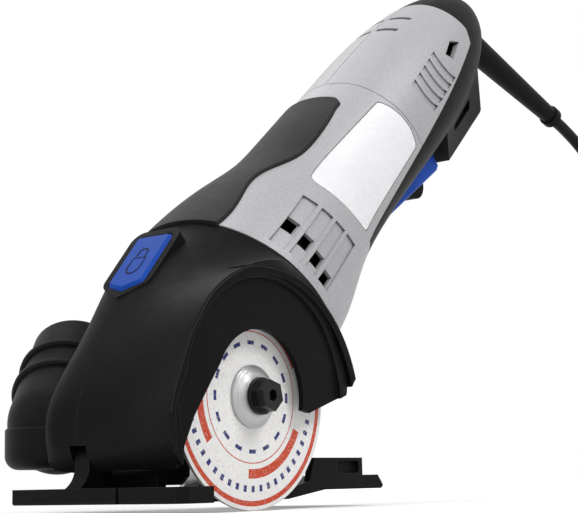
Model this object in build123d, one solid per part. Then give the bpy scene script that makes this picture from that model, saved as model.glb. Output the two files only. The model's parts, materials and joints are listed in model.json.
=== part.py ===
from build123d import *
import math
import os

os.makedirs("parts", exist_ok=True)

# Compact circular saw, millimetres. X is the cutting direction, Y points to the wheel's side, Z is up.
# The origin is on the sole of the foot, under the spindle and in the middle plane of the body.
# The motor body is drawn level, with its axis along X and the spindle at the origin, and then tilted.

# Cutting wheel and its clamping
wheel_diameter = 77.0
wheel_thickness = 1.1
wheel_bore = 11.1
wheel_drop = 3.3
kerf_gap = 1.2
wheel_face = 38.3
spindle_height = wheel_diameter / 2 - wheel_drop
tilt = 43.75
flange_radius = 10.9
flange_bevel = 1.5
flange_bevel_height = 1.6
inner_flange_thickness = 5.5
outer_flange_thickness = 3.6
flange_edge = 0.9
# Point of the dome, inwards from the rim and up from the wheel
flange_dome = (1.6, 2.6)
pilot_clearance = 0.05
pilot_sink = 0.15
collar_radius = 6.4
collar_thickness = 1.6
hex_across_flats = 9.6
hex_height = 4.5
socket_across_flats = 4.0
socket_depth = 2.8
bolt_radius = 2.5
bolt_reach = 14.0
bolt_room = 1.0
bolt_clearance = 0.4

# General clearances
seam_gap = 0.25
running_gap = 0.05
fit_gap = 0.02
free_gap = 0.4
swing_gap = 1.7
# How far cutting pieces run past what they cut, and where side cuts start
over = 1.0
far = 90.0
side_cut = 10.0

# Motor body, measured backwards from the spindle along the motor axis
front_seam = 48.5
rear_seam = 164.0
wall = 2.6
skin = 1.1
# Distance back, half width, height above the axis, depth below it
body_rows = [
    (front_seam, 44.4, 44.4, 30.5),
    (60.0, 42.5, 43.5, 31.5),
    (72.0, 40.0, 42.0, 31.5),
    (86.0, 36.8, 39.2, 29.0),
    (104.0, 33.2, 35.4, 26.2),
    (125.0, 32.0, 34.0, 24.6),
    (rear_seam, 31.5, 33.0, 25.0),
    (206.0, 30.0, 31.5, 26.5),
    (228.0, 27.6, 28.8, 25.5),
    (248.0, 24.0, 24.6, 22.6),
    (264.0, 19.2, 19.4, 18.4),
    (275.0, 13.4, 13.4, 13.0),
]

# Black switch housing under and behind the grey shells
strip_front = 104.0
strip_low = 10.0
strip_end = 241.0
strip_high = 1.2
tail_lift = 7.0
tail_front = 245.8
tail_lean = 1.6
hump_front = 202.0
hump_rear = 243.0
hump_depth = 36.0
hump_half_width = 13.0
hump_top = 4.0
hump_top_front = 194.0
hump_top_rear = 251.0
hump_top_half_width = 30.0
hump_top_rear_half_width = 21.5
hump_edge = 3.0
hump_slot = [(208.6, -21.4), (231.7, -21.1), (230.4, -25.8), (209.0, -24.6)]

# Nose: distance back, top, depth, half width on the plain side, fullness there,
# rim height on the wheel side and hollow of the shoulder before the rim
nose_rows = [
    (-45.5, 15.6, -10.0, 17.0, 0.84, 21.6, 1.6),
    (-38.0, 26.2, -2.4, 20.0, 0.84, 30.4, 1.6),
    (-27.0, 33.2, 6.6, 21.5, 0.82, 35.6, 1.2),
    (-12.0, 38.6, 14.2, 22.8, 0.78, 41.2, 0.3),
    (8.0, 44.4, 22.4, 26.0, 0.74, 43.0, 1.4),
    (27.0, 46.4, 30.0, 34.0, 0.72, 36.6, 3.2),
]
shoulder_share = 0.64
oval_fullness = 0.715
guard_rim = 46.0
# Where the oval behind the guard is flat, and the points between, as angles about the motor axis
guard_flat_high = 26.0
guard_flat_low = -27.0
guard_shoulder = 58.0
guard_fall = (0.44, -0.9)
guard_return = (-0.52, -0.85)
dip_slope = 0.1
guard_inner_radius = 39.7
hood_radius = 51.5
hood_back = -4.1
hood_drop = -4.9
hood_wall = 3.0
guard_wall = 22.5
cheek_recess = 1.6
cheek_thickness = 2.2
cheek_opening = 22.9
cheek_opening_back = -1.5
cheek_opening_up = 1.2
cheek_front = [(-1.0, 24.1), (-14.0, 22.0), (-30.5, 19.0), (-41.0, 15.2)]

# Spindle, gears and bearings
gear_teeth = 19
pinion_teeth = 11
gear_module = 1.4
gear_face = 5.0
tooth_share = 0.76
# Tooth height over and under the pitch cone, and widths at tip and root, as shares
tooth_tip = 0.85
tooth_root = 1.1
tooth_tip_width = 0.5
tooth_root_width = 1.35
root_cover = 0.9
gear_rim = 1.4
gear_back_slope = 1.0
gear_phase = 0.75
pinion_phase = 0.25
case_wall = 1.6
case_clearance = 0.15
spindle_radius = 5.0
rear_journal_radius = 4.0
shield_depth = 0.5
nose_bearing_radius = 12.0
nose_bearing_width = 6.0
nose_bearing_seat = 14.0
tail_bearing_radius = 11.0
tail_bearing_width = 7.0
tail_bearing_seat = -20.0
journal_shoulder = 0.2
nose_collar = 0.6

# Motor, measured backwards from the spindle
shaft_radius = 4.0
motor_bearing_radius = 11.0
motor_bearing_width = 7.0
front_bearing_seat = 31.0
rear_bearing_seat = 150.0
fan_seat = 52.0
fan_width = 10.0
fan_radius = 27.0
fan_blades = 9
fan_disc = 1.6
fan_hub_radius = 8.0
fan_blade = 1.8
fan_blade_start = 11.0
fan_blade_inset = 0.5
armature_front = 80.0
armature_length = 40.0
armature_radius = 12.6
armature_slots = 12
armature_slot = 1.8
armature_slot_depth = 4.2
air_gap = 0.6
stator_radius = 21.4
commutator_front = 132.0
commutator_length = 11.0
commutator_radius = 9.0
commutator_bars = 12
commutator_groove = 0.5
commutator_groove_depth = 0.8
end_turn_length = 8.0
end_turn_step = 0.6
end_turn_gap = 0.1
end_turn_round = 2.0

# Foot
foot_front = 48.5
foot_left = 30.3
toe_left = 51.3
toe_rear = 30.0
foot_thickness = 3.0
foot_lip = 5.3
sole_edge = 0.6
lip_slope = 4.0
ramp_run = 3.0
ramp_step = 1.0
tail_crest = 1.5
tail_tip = 2.0
tail_tip_height = 1.2
toe_slant = 5.0
toe_slant_run = 4.0
toe_corner = 3.0
mark_low = 21.6
mark_high = 23.4
mark_depth = 1.2
lip_rear = 39.0
sole_rear = -28.5
tail_front_x = -50.0
tail_rear = -85.0
tail_rise = 3.0
tail_top = 8.2
window_front = 25.0
window_rear = -40.0
rail_width = 6.8
fence_height = 14.7
fence_base = -41.0
fence_front = -44.0
fence_rear = -73.6
fence_thickness = 3.0
fence_slot_front = -57.6
fence_slot_rear = -71.4
fence_slot_low = 8.8
fence_slot_high = 13.6
fence_slot_corner = 1.7
fence_slot_depth = 2.0
fence_sink = 2.0
stiffener_front = 29.5
stiffener_rear = 25.5
stiffener_left = 22.0
stiffener_height = 9.6
pivot_x = 38.0
pivot_z = 14.0
pivot_pin_radius = 2.0
pivot_pin_length = 28.0
lug_radius = 5.0
lug_width = 7.0
lug_heel = 5.0
# Middles of the lug's hollow sides: outwards of the lug, and height
lug_rear_hollow = (1.4, 8.0)
lug_front_hollow = (1.2, 8.4)
notch_gap = 0.6
notch_rear = 9.0
foot_room = 1.2
room_rear = 3.0

# Depth arc and clamp on the plain side of the foot
arc_radius = 80.0
arc_half_width = 4.2
arc_outer_face = -31.5
arc_thickness = 2.5
foot_right = arc_outer_face + arc_thickness + fit_gap
arc_slot_half_width = 2.4
arc_slot_end = 1.8
arc_end = 4.0
clamp_angle = 23.0
arc_root_angle = -8.4
depth_up = 22.0
depth_down = 6.0
clamp_bolt_radius = 2.0
clamp_hub_radius = 6.0
clamp_hub_thickness = 5.0
clamp_head_height = 1.8
clamp_head_step = 1.6
clamp_arm_length = 27.0
# Corners of the arm about the bolt
clamp_arm = [(3.5, 4.5), (-3.5, -4.5), (-clamp_arm_length - 2.0, 1.0), (-clamp_arm_length - 0.5, 6.5)]
clamp_arm_thickness = 3.4

# Dust port on the plain side: middle of the first ring and direction of the pipe
port_centre = (8.3, -43.0, 44.8)
port_tilt = 42.8
port_splay = 31.5
port_bore = 16.1
port_wall = 2.0
port_ring = 1.9
port_ring_width = 3.0
port_ring_step = 11.5
port_mouth = 14.5
port_socket = 21.0
port_passage = 10.0
port_elbow = 24.0
port_ledge = 27.0
port_ledge_step = 1.2
port_ledge_round = 0.9
port_foot_round = 5.0
port_drop_step = 0.4
port_neck_step = 3.0
port_ring_bevel = 0.8
port_heel = 18.0
port_heel_drop = 0.6
port_swing_gap = 1.0

# Paddle, lock-off and spindle lock
paddle_front = 143.0
paddle_hinge_inset = 3.0
paddle_rear = 197.5
paddle_half_width = 10.5
paddle_hinge_depth = 22.6
paddle_tip_depth = 27.0
paddle_heel_depth = 35.2
paddle_thickness = 8.6
paddle_pin_radius = 1.6
paddle_edge = 1.6
# Paddle outline about its hinge: forwards of it and over it
paddle_nose = [(3.6, -1.6), (1.0, 2.8), (-3.0, 2.4)]
paddle_heel = 3.0
paddle_heel_bevel = 1.0
paddle_tip_lift = 0.6
paddle_room_front = 3.0
paddle_room_rear = 1.6
paddle_room_top = 12.0
lock_seat = 182.0
lock_radius = 6.5
lock_half_width = 5.0
lock_pin_radius = 1.2
lock_pin_grip = 1.9
lock_pin_end = 0.1
lock_flat = 2.6
button_front = 8.5
button_rear = 36.5
button_point = 3.2
button_half_width = 8.8
button_corner = 2.2
button_bevel = 1.2
button_travel = 4.0
button_pin_radius = 3.0

# Power cord
cord_diameter = 6.0
boot_back = 268.0
boot_up = 4.0
boot_drop = 15.7
boot_length = 107.0
boot_root_radius = 6.6
boot_root_length = 20.0
boot_seat = 5.0
boot_tip_radius = 4.4
boot_flange_radius = 5.4
boot_flange = 4.0
tie_thickness = 0.8
tie_width = 7.0
tie_gap = 0.3
tie_corner = 2.5
floor = -wheel_drop
lay = floor + tie_thickness + tie_gap + cord_diameter / 2
coil_turns = 4
coil_mean_radius = 33.0
coil_pitch = 6.7
layer_pitch = 6.7
plug_tail = 42.0
plug_half_height = 13.0
plug_radius = 17.8
plug_length = 36.0
plug_bore = 8.0
plug_neck = 14.0
plug_neck_wall = 1.6
plug_root_wall = 2.6
plug_swell = (12.0, 18.5)
plug_shoulder = 25.0
pin_round = 1.6
pin_radius = 2.4
pin_length = 19.0
pin_spacing = 19.0
first_run = 30.0
cord_points = [
    (-348.0, 0.5, 166.0),
    (-364.0, 2.0, 130.0),
    (-370.0, 4.5, 88.0),
    (-378.0, 7.5, 46.0),
    (-396.0, 10.5, 14.0),
    (-426.0, 13.0, 2.5),
]
cord_landing = (-456.0, 14.0)
coil_entry = (-486.0, 14.0)

# Surface details
grip_front_half_width = 17.8
# Distance back and half width of the grip
grip_rows = [(67.0, 16.4), (90.0, 11.8), (106.0, 15.6), (119.0, 16.6), (144.0, 14.8)]
grip_rear = 150.8
grip_corner = 3.4
grip_swell = 1.3
label_depth = 0.6
label_sink = 0.05
label_corner = 2.6
# Corners of the name plate as distance back and height, from the upper front one on
label_corners = [(97.5, 26.0), (160.0, 21.8), (159.5, -2.2), (102.0, -4.4)]
label_rear_bow = (162.3, 9.5)
label_front_bow = (99.0, 10.5)
vent_depth = 0.9
vent_outline = [(52.0, 29.6), (86.0, 26.0), (89.0, -1.5), (54.0, 2.6)]
vent_rib_width = 1.6
vent_rib_heights = (23.8, 16.9, 10.0)
vent_rib_drop = 5.0
vent_hole_length = 8.2
vent_hole_height = 4.8
vent_hole_places = ((66.0, 25.3), (64.0, 18.6), (61.5, 12.0), (58.0, 5.5))
slit_places = (213.0, 226.0)
slit_width = 2.4
slit_inner = 1.5
slit_outer = 12.0
window_outline = [(215.5, 10.6), (226.0, 11.8), (231.5, 7.6), (218.0, 6.0)]
ridge_first = 181.0
ridge_count = 5
ridge_pitch = 6.0
ridge_share = 0.62
ridge_depth = 0.8
# Lean backwards and height of three points on a ridge's edge
ridge_curve = [(3.0, 0.2), (-0.4, 8.0), (1.6, 15.6)]
cheek_radius = 40.6
rim_width = 3.2
rim_drop = 0.2
nose_wall = 3.4
guard_corner_x = -24.4
guard_corner_z = 30.0
cheek_slope = 18.5
hood_start = (43.0, 59.0)
hood_end = (34.0, -30.2)
hood_corner = (39.5, -29.2)
hood_corner_lift = 4.0
hood_reach = 80.0
hood_inset = 1.0
wedge_run = 60.0
wedge_front = 30.0
wedge_rear = -120.0
wedge_low = -40.0
# Front edge of the recessed cheek in the standing frame
cheek_recess_front = [(37.0, 49.0), (45.4, 31.0), (46.0, wedge_low)]
case_nose = 25.0
case_flange_radius = 25.4
case_flange_front = 5.0
case_flange_rear = 2.0
case_flange_room = 5.5
case_neck_step = 0.9
case_neck_end = 3.0
case_seat = 0.5
case_bore_step = 1.5
# Hollow of the nose: distance back, reach to the plain side, low and high
cavity_rows = [
    (-27.0, -18.0, -2.0, 27.0),
    (8.0, -23.0, -18.4, 28.5),
    (27.0, -31.0, -21.8, 28.5),
    (43.5, -37.0, -25.0, 33.0),
]
gear_room_radius = 14.8
gear_hub_radius = 8.0
gear_hub = 3.4
pinion_hub_radius = 6.0
pinion_hub = 8.0
pinion_seat = 9.4
nose_journal_radius = 6.0
retainer_back = 2.0
retainer_front = 0.4
retainer_gap = 1.4
brush_plate_radius = 26.0
brush_plate_margin = 4.0
brush_plate_floor = 1.4
shaft_clearance = 2.0
brush_half_width = 3.1
brush_half_height = 2.6
brush_length = 11.0
brush_gap = 0.2
holder_start = 2.2
holder_inset = 1.0
holder_half_length = 5.2
holder_half_height = 4.6
holder_end = 2.0
coil_start = 0.6
coil_thickness = 2.6
coil_half_width = 12.2
coil_inner_half_width = 8.6
coil_overhang = 6.0
coil_gap = 0.2
coil_end_gap = 0.3
bearing_step = 1.5
switch_half_width = 12.0
switch_front = 172.0
switch_rear = 206.0
switch_low = 15.5
switch_high = 6.0
switch_ledge_front = 175.0
switch_ledge_rear = 203.0
switch_ledge_low = 14.0
switch_ledge_high = 11.0
bracket_half_width = 7.0
bracket_thickness = 2.5
bracket_margin = 2.0
plunger_inset = 8.0
plunger_length = 5.0
plunger_half_width = 3.5
switch_plunger = 18.6
paddle_spring_back = 165.5
paddle_spring_top = 11.0
screw_radius = 1.6
screw_head = 2.8
screw_head_height = 2.4
# Distance back and height of the screws
screw_places = [(-20.0, 27.0), (44.0, 36.5), (-26.0, 10.0), (12.5, -19.0)]
# How far the boss of each screw stops short of the guard's wall
boss_stops = (0.0, 7.0, 0.0, 0.0)
screw_grip = 12.0
screw_boss = 3.2
boss_floor = 1.5
clamp_boss_radius = 5.0
clamp_web = 6.0
arc_room = 0.8
arc_room_low = -14.0
arc_room_high = 60.0
hub_room = 1.0
mating_gap = 0.01
clamp_boss_end = -12.0
clamp_bolt_end = -14.0
bolt_end_gap = 0.5
paddle_pin_grip = 3.0
lock_depth = 33.0
button_floor = 36.0
button_frame_low = 37.0
# Two points of the button's sloped face
button_slope_rear = (-60.0, 51.0)
button_slope_front = (20.0, 41.6)
button_lift = 0.7
spring_radius = 4.4
spring_wire = 0.45
spring_room = 1.2
spring_end_gap = 0.2
spring_bore_depth = 5.1
lock_spring_turns = 5
paddle_spring_turns = 3
port_low = 12.3
rivet_radius = 1.3
rivet_spacing = 4.4
rivet_height = 4.2
rivet_depth = 5.0
rivet_head = 0.8


def tilted(shape):
    """Move a piece from the level motor frame to its place on the saw."""
    return Pos(0, 0, spindle_height) * Rot(0, tilt, 0) * shape


def across(back):
    """Plane square to the motor axis, with Y to the right and Z up."""
    return Plane(origin=(-back, 0, 0), x_dir=(0, 1, 0), z_dir=(1, 0, 0))


def side_slab(outline, low, high):
    """Flat piece from an outline in X and Z, between two values of Y."""
    return extrude(Plane(origin=(0, high, 0), x_dir=(1, 0, 0), z_dir=(0, -1, 0)) * outline, high - low)


def polygon(points):
    return make_face(Polyline(*points, close=True))


def back_polygon(points):
    """Side outline given as distance back and height."""
    return polygon([(-back, height) for back, height in points])


def cross_rod(radius, low, high, x=0.0, z=0.0):
    return Pos(x, (low + high) / 2, z) * Rot(90, 0, 0) * Cylinder(radius, high - low)


def axial_rod(radius, front, rear):
    return Pos(-(front + rear) / 2, 0, 0) * Rot(0, 90, 0) * Cylinder(radius, rear - front)


def block(x0, x1, y0, y1, z0, z1):
    return Pos((x0 + x1) / 2, (y0 + y1) / 2, (z0 + z1) / 2) * Box(abs(x1 - x0), abs(y1 - y0), abs(z1 - z0))


def keep(name, shape):
    export_step(shape, "parts/" + name + ".step")


def body_section(back, half_width, top, depth, grow):
    """Closed oval section of four quarter curves."""
    wide = half_width + grow
    high = top + grow
    low = -(depth + grow)
    side = oval_fullness * wide
    shoulder = oval_fullness * high
    hip = oval_fullness * low
    right = Spline((0, high), (side, shoulder), (wide, 0), tangents=((1, 0), (0, -1)))
    under = Spline((wide, 0), (side, hip), (0, low), tangents=((0, -1), (-1, 0)))
    under_left = Spline((0, low), (-side, hip), (-wide, 0), tangents=((-1, 0), (0, 1)))
    left = Spline((-wide, 0), (-side, shoulder), (0, high), tangents=((0, 1), (1, 0)))
    return across(back) * make_face([right, under, under_left, left])


def body_envelope(grow):
    """Outside of the whole motor body, grown or shrunk by an even amount."""
    return loft([body_section(*row, grow) for row in body_rows])


def strip_height(back):
    return -strip_low + (strip_high + strip_low) * (back - strip_front) / (strip_end - strip_front)


def black_region(gap):
    """Everything under the strip line and behind the grey tail, as a wide slab."""
    outline = [
        (strip_front - gap, -far),
        (strip_front - gap, strip_height(strip_front) + gap),
        (strip_end, strip_high + gap),
        (tail_front - gap, tail_lift),
        (tail_front - tail_lean - gap, far),
        (body_rows[-1][0] + far, far),
        (body_rows[-1][0] + far, -far),
    ]
    return side_slab(back_polygon(outline), -far, far)


def grip_prism(gap):
    """Plan outline of the soft grip, waisted, with a square rear end, as a tall slab over the body."""
    start = (-front_seam - seam_gap + 2 * gap, grip_front_half_width + gap)
    side = Spline(start, *[(-back, half_width + gap) for back, half_width in grip_rows])
    corner = (-grip_rear - gap, grip_rows[-1][1] + gap)
    edge = Line(side @ 1, corner)
    end = Line(corner, (corner[0], -corner[1]))
    front = Line(start, (start[0], -start[1]))
    mirrored = [mirror(line, about=Plane.XZ) for line in (edge, side)]
    outline = make_face([side, edge, end] + mirrored + [front])
    return extrude(fillet(outline.vertices().sort_by(Axis.X)[:2], grip_corner + gap), far)


def label_prism(gap):
    """Side outline of the name plate's place, bowed at both ends and round at its corners."""
    shifts = ((-gap, gap), (gap, gap), (gap, -gap), (-gap, -gap))
    corners = []
    for (back, height), (shift, lift) in zip(label_corners, shifts):
        corners.append((-back - shift, height + lift))
    rear_bow = (-label_rear_bow[0] - gap, label_rear_bow[1])
    front_bow = (-label_front_bow[0] + gap, label_front_bow[1])
    outline = make_face([
        Line(corners[0], corners[1]), ThreePointArc(corners[1], rear_bow, corners[2]),
        Line(corners[2], corners[3]), ThreePointArc(corners[3], front_bow, corners[0])])
    return side_slab(fillet(outline.vertices(), label_corner + gap), side_cut, far)


def vent_panel():
    """Slanted vent panel with its long ribs left standing."""
    panel = back_polygon(vent_outline)
    front = vent_outline[0][0] - wall
    rear = vent_outline[2][0] + wall
    for height in vent_rib_heights:
        rise = vent_rib_width / 2
        panel -= back_polygon([
            (front, height + rise), (rear, height - vent_rib_drop + rise),
            (rear, height - vent_rib_drop - rise), (front, height - rise)])
    return side_slab(panel, side_cut, far)


def vent_holes():
    """Holes through the wall, each in its field between two ribs and slanted as they are."""
    half = vent_hole_length / 2
    rise = vent_hole_height / 2
    drop = vent_rib_drop * half / (vent_outline[2][0] - vent_outline[0][0] + 2 * wall)
    return [
        side_slab(back_polygon([
            (back - half, height + drop + rise), (back + half, height - drop + rise),
            (back + half, height - drop - rise), (back - half, height + drop - rise)]), side_cut, far)
        for back, height in vent_hole_places]


def both_sides(shape):
    return shape + mirror(shape, about=Plane.XZ)


def ridge_panel():
    """Grooves between the curved finger ridges on the side of the rear housing."""
    cuts = []
    for count in range(ridge_count):
        back = ridge_first + ridge_pitch * count
        line = ThreePointArc(*[(-back - lean, height) for lean, height in ridge_curve])
        other = Pos(-ridge_pitch * ridge_share, 0, 0) * line
        ridge = make_face([line, other, Line(line @ 0, other @ 0), Line(line @ 1, other @ 1)])
        cuts.append(side_slab(ridge, side_cut, far))
    return cuts


def hump_section(front, rear, front_half, rear_half, height):
    """Four-sided section of the hump at one height."""
    return Plane(origin=(0, 0, height)) * polygon([
        (-front, -front_half), (-rear, -rear_half), (-rear, rear_half), (-front, front_half)])


def hump_loft(inset, top_height):
    """Tapered block of the hump, drawn in by an even amount."""
    front_half = hump_top_half_width - inset
    rear_half = hump_top_rear_half_width - inset
    half = hump_half_width - inset
    top = hump_section(hump_top_front + inset, hump_top_rear - inset, front_half, rear_half, top_height)
    bottom = hump_section(hump_front + inset, hump_rear - inset, half, half, inset - hump_depth)
    return loft([top, bottom], ruled=True)


def hump():
    """Hollow hump behind the paddle, with rounded lower edges and a slot through its sides."""
    solid = hump_loft(0.0, -hump_top)
    solid = fillet(solid.edges().group_by(Axis.Z)[0], hump_edge)
    return solid - hump_loft(wall, over - hump_top) - side_slab(back_polygon(hump_slot), -far, far)


def paddle_room():
    """Opening in the underside of the switch housing for the paddle."""
    half = paddle_half_width + free_gap
    rear = -paddle_rear - paddle_room_rear
    front = -paddle_front + paddle_room_front
    return block(rear, front, -half, half, -far, -paddle_room_top)


def paddle_pin_line(radius):
    reach = paddle_half_width + paddle_pin_grip
    return cross_rod(radius, -reach, reach, -paddle_front - paddle_hinge_inset, -paddle_hinge_depth)


def boot_axis():
    """Start and direction of the cord boot in the standing frame."""
    turn = math.radians(tilt)
    x = -boot_back * math.cos(turn) + boot_up * math.sin(turn)
    z = spindle_height + boot_back * math.sin(turn) + boot_up * math.cos(turn)
    drop = math.radians(boot_drop)
    return Vector(x, 0, z), Vector(-math.cos(drop), 0, -math.sin(drop))


def boot_frame():
    origin, direction = boot_axis()
    return Plane(origin=origin, x_dir=(0, 1, 0), z_dir=direction)


def motor_shells():
    """Grey motor housing, grey rear halves, black switch housing, soft grip and bare name plate."""
    outside = body_envelope(0.0)
    inside = body_envelope(-wall)
    shell = outside - inside
    front_zone = block(-rear_seam + seam_gap / 2, -front_seam - seam_gap, -far, far, -far, far)
    motor = (shell & front_zone) - black_region(seam_gap)
    motor -= grip_prism(seam_gap) - body_envelope(-skin)
    motor -= label_prism(seam_gap) - body_envelope(-label_depth)
    recess = vent_panel() - body_envelope(-vent_depth)
    motor -= both_sides(recess)
    for hole in vent_holes():
        motor -= both_sides(hole)
    label = (label_prism(0.0) & body_envelope(-label_sink)) - body_envelope(-label_depth + running_gap)
    grip = ((grip_prism(0.0) & front_zone) & body_envelope(grip_swell)) - body_envelope(-skin + running_gap)

    body_end = -body_rows[-1][0] - far
    rear_zone = block(body_end, -rear_seam - seam_gap / 2, -far, far, -far, far)
    rear = (shell & rear_zone) - black_region(seam_gap)
    for back in slit_places:
        slit = block(-back - slit_width / 2, -back + slit_width / 2, slit_inner, slit_outer, side_cut, far)
        rear -= both_sides(slit)
    rear -= both_sides(side_slab(back_polygon(window_outline), side_cut, far))
    floor_skin = body_envelope(-ridge_depth)
    for groove in ridge_panel():
        rear -= both_sides(groove - floor_skin)
    left_zone = block(body_end, 0.0, seam_gap / 2, far, -far, far)
    rear_left_half = rear & left_zone
    rear_right_half = rear & mirror(left_zone, about=Plane.XZ)

    switch = (shell & black_region(0.0)) + (hump() - inside)
    ledge = block(-switch_ledge_rear, -switch_ledge_front, switch_half_width + fit_gap, far,
                  -switch_ledge_low, -switch_ledge_high)
    switch += (both_sides(ledge) & body_envelope(-wall / 2)) & black_region(0.0)
    switch -= paddle_room()
    switch -= paddle_pin_line(paddle_pin_radius + running_gap)
    return motor, rear_left_half, rear_right_half, switch, grip, label


def stand(back, up):
    """Point of the level frame in the standing frame."""
    turn = math.radians(tilt)
    x = -back * math.cos(turn) + up * math.sin(turn)
    z = spindle_height + back * math.sin(turn) + up * math.cos(turn)
    return x, z


def level(x, z):
    """Point of the standing frame as distance back and height in the level frame."""
    turn = math.radians(tilt)
    drop = z - spindle_height
    return -x * math.cos(turn) + drop * math.sin(turn), x * math.sin(turn) + drop * math.cos(turn)


def guard_section(back, top, depth, rim_height, dip):
    """Section of the wheel-side half, from the middle plane over a hollow shoulder to the guard rim."""
    inner = seam_gap / 2
    middle = Line((inner, -depth), (inner, top))
    shoulder = (shoulder_share * guard_rim, top + shoulder_share * (rim_height - top) - dip)
    ridge = Spline((inner, top), shoulder, (guard_rim, rim_height), tangents=((1, 0), (1, dip * dip_slope)))
    outer = Line((guard_rim, rim_height), (guard_rim, -depth))
    under = Line((guard_rim, -depth), (inner, -depth))
    return across(back) * make_face([middle, ridge, outer, under])


def oval_point(angle, half_width, top, depth):
    turn = math.radians(angle)
    height = top if angle > 0 else depth
    return half_width * math.cos(turn), height * math.sin(turn)


def guard_rear_section():
    """The wheel-side half meets the motor housing in half of its oval."""
    back, *oval = body_rows[0]
    wide, top, depth = oval
    inner = seam_gap / 2
    high = oval_point(guard_flat_high, *oval)
    low = oval_point(guard_flat_low, *oval)
    shoulder = oval_point(guard_shoulder, *oval)
    hip = oval_point(-guard_shoulder, *oval)
    middle = Line((inner, -depth), (inner, top))
    ridge = Spline((inner, top), shoulder, high, tangents=((1, 0), guard_fall))
    outer = ThreePointArc(high, (wide, 0), low)
    under = Spline(low, hip, (inner, -depth), tangents=(guard_return, (-1, 0)))
    return across(back) * make_face([middle, ridge, outer, under])


def plain_section(back, top, depth, half_width, share, centre):
    """Section of the plain half of the nose, with rounded shoulders."""
    inner = -seam_gap / 2
    shoulder = (-share * half_width, centre + share * (top - centre))
    hip = (-share * half_width, centre - share * (centre + depth))
    side = (-half_width, centre)
    middle = Line((inner, -depth), (inner, top))
    upper = Spline((inner, top), shoulder, side, tangents=((-1, 0), (0, -1)))
    lower = Spline(side, hip, (inner, -depth), tangents=((0, -1), (1, 0)))
    return across(back) * make_face([middle, upper, lower])


def open_wedge(front_points, slope):
    """Side outline of everything below the guard, from its front edge to its sloped rear lower edge."""
    rise = wedge_run * math.tan(math.radians(slope))
    rear_far = level(guard_corner_x - wedge_run, guard_corner_z + rise)
    rear_low = level(guard_corner_x, guard_corner_z)
    floor_points = [level(wedge_front, wedge_low), level(wedge_rear, wedge_low)]
    return front_points + floor_points + [rear_far, rear_low, (0.0, 0.0)]


def wheel_room(radius, front_x):
    """Room for the wheel: a disc, open straight down in front and cut off below the rear."""
    front = [level(front_x, spindle_height), level(front_x, wedge_low)]
    return Circle(radius) + back_polygon(open_wedge(front, depth_up + swing_gap))


def hood_band():
    """Curved outer wall of the guard behind the wheel, down to its chamfered rear end."""
    place = Pos(-hood_back, hood_drop)
    ring = place * Circle(hood_radius) - place * Circle(hood_radius - hood_wall)
    low = level(guard_corner_x, guard_corner_z)
    return ring & back_polygon([
        (0.0, 0.0), low, hood_end, hood_corner, (hood_reach, hood_corner[1] + hood_corner_lift),
        (hood_reach, hood_reach), hood_start])


def button_outline(grow):
    half = button_half_width + grow
    outline = polygon([
        (-button_front + grow, 0.0), (-button_front - button_point, half), (-button_rear - grow, half),
        (-button_rear - grow, -half), (-button_front - button_point, -half)])
    return fillet(outline.vertices().sort_by(Axis.X)[:4], button_corner + grow)


def button_slope(lift):
    """Big block under the sloped face of the button, raised by a lift."""
    rear_x, rear_z = button_slope_rear
    front_x, front_z = button_slope_front
    face = [(rear_x, rear_z + lift), (front_x, front_z + lift), (front_x, 0.0), (rear_x, 0.0)]
    return side_slab(polygon(face), -far, far)


def button_middle():
    return -(button_front + button_rear) / 2


def upright_rod(radius, low, high, x):
    return Pos(x, 0, (low + high) / 2) * Cylinder(radius, high - low)


def button_bores():
    """Pocket of the spindle lock button, with the bores for its pin and its spring."""
    pocket = extrude(Plane(origin=(0, 0, button_floor)) * button_outline(free_gap), far)
    pin_bore = upright_rod(button_pin_radius + free_gap, 0.0, button_floor + over, button_middle())
    spring_low = button_floor - spring_bore_depth
    spring_bore = upright_rod(spring_radius + spring_room, spring_low, button_floor + over, button_middle())
    return pocket + pin_bore + spring_bore


def button_frame():
    """Raised frame round the spindle lock button."""
    frame = extrude(button_outline(rim_width), far) & button_slope(-rim_drop)
    return frame - block(-far, far, -far, far, -far, button_frame_low)


def nose_cavity():
    """Hollow of the nose round the gear case."""
    sections = []
    left = guard_wall - nose_wall
    for back, right, low, high in cavity_rows:
        sections.append(across(back) * polygon([(right, low), (left, low), (left, high), (right, high)]))
    flange_room = axial_rod(case_flange_radius + free_gap, front_seam - case_flange_room, front_seam + over)
    return loft(sections, ruled=True) + flange_room


def gear_case_outline(gap):
    """Outside of the gear case: a barrel across, its nose, the neck to the motor and the end flange."""
    radius = gear_room_radius + case_wall + gap
    tail = tail_bearing_seat - case_wall - gap
    barrel = cross_rod(radius, tail, guard_wall - nose_wall + case_seat + gap)
    nose = cross_rod(nose_bearing_radius + case_wall + gap, 0.0, case_nose + gap)
    neck = axial_rod(radius - case_neck_step, 0.0, front_seam - case_neck_end)
    flange_front = front_seam - case_flange_front - gap
    flange = axial_rod(case_flange_radius + gap, flange_front, front_seam - case_flange_rear + gap)
    return barrel + nose + neck + flange


def gear_case():
    """Metal case that seats both spindle bearings and the front motor bearing."""
    case = gear_case_outline(0.0)
    gear_low = tail_bearing_seat + tail_bearing_width
    case -= cross_rod(gear_room_radius, gear_low, nose_bearing_seat)
    case -= cross_rod(tail_bearing_radius + fit_gap, tail_bearing_seat, gear_low + over)
    case -= cross_rod(nose_bearing_radius + fit_gap, nose_bearing_seat - over, case_nose + over)
    case -= axial_rod(motor_bearing_radius - case_bore_step, 0.0, front_bearing_seat + over)
    case -= axial_rod(motor_bearing_radius + fit_gap, front_bearing_seat, front_seam)
    case_top = gear_room_radius + case_wall + over
    pin_low = pinion_hub_radius + over
    return case - upright_rod(button_pin_radius + free_gap, pin_low, case_top, button_middle())


def clamp_place():
    turn = math.radians(clamp_angle)
    return pivot_x - arc_radius * math.cos(turn), pivot_z + arc_radius * math.sin(turn)


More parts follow.
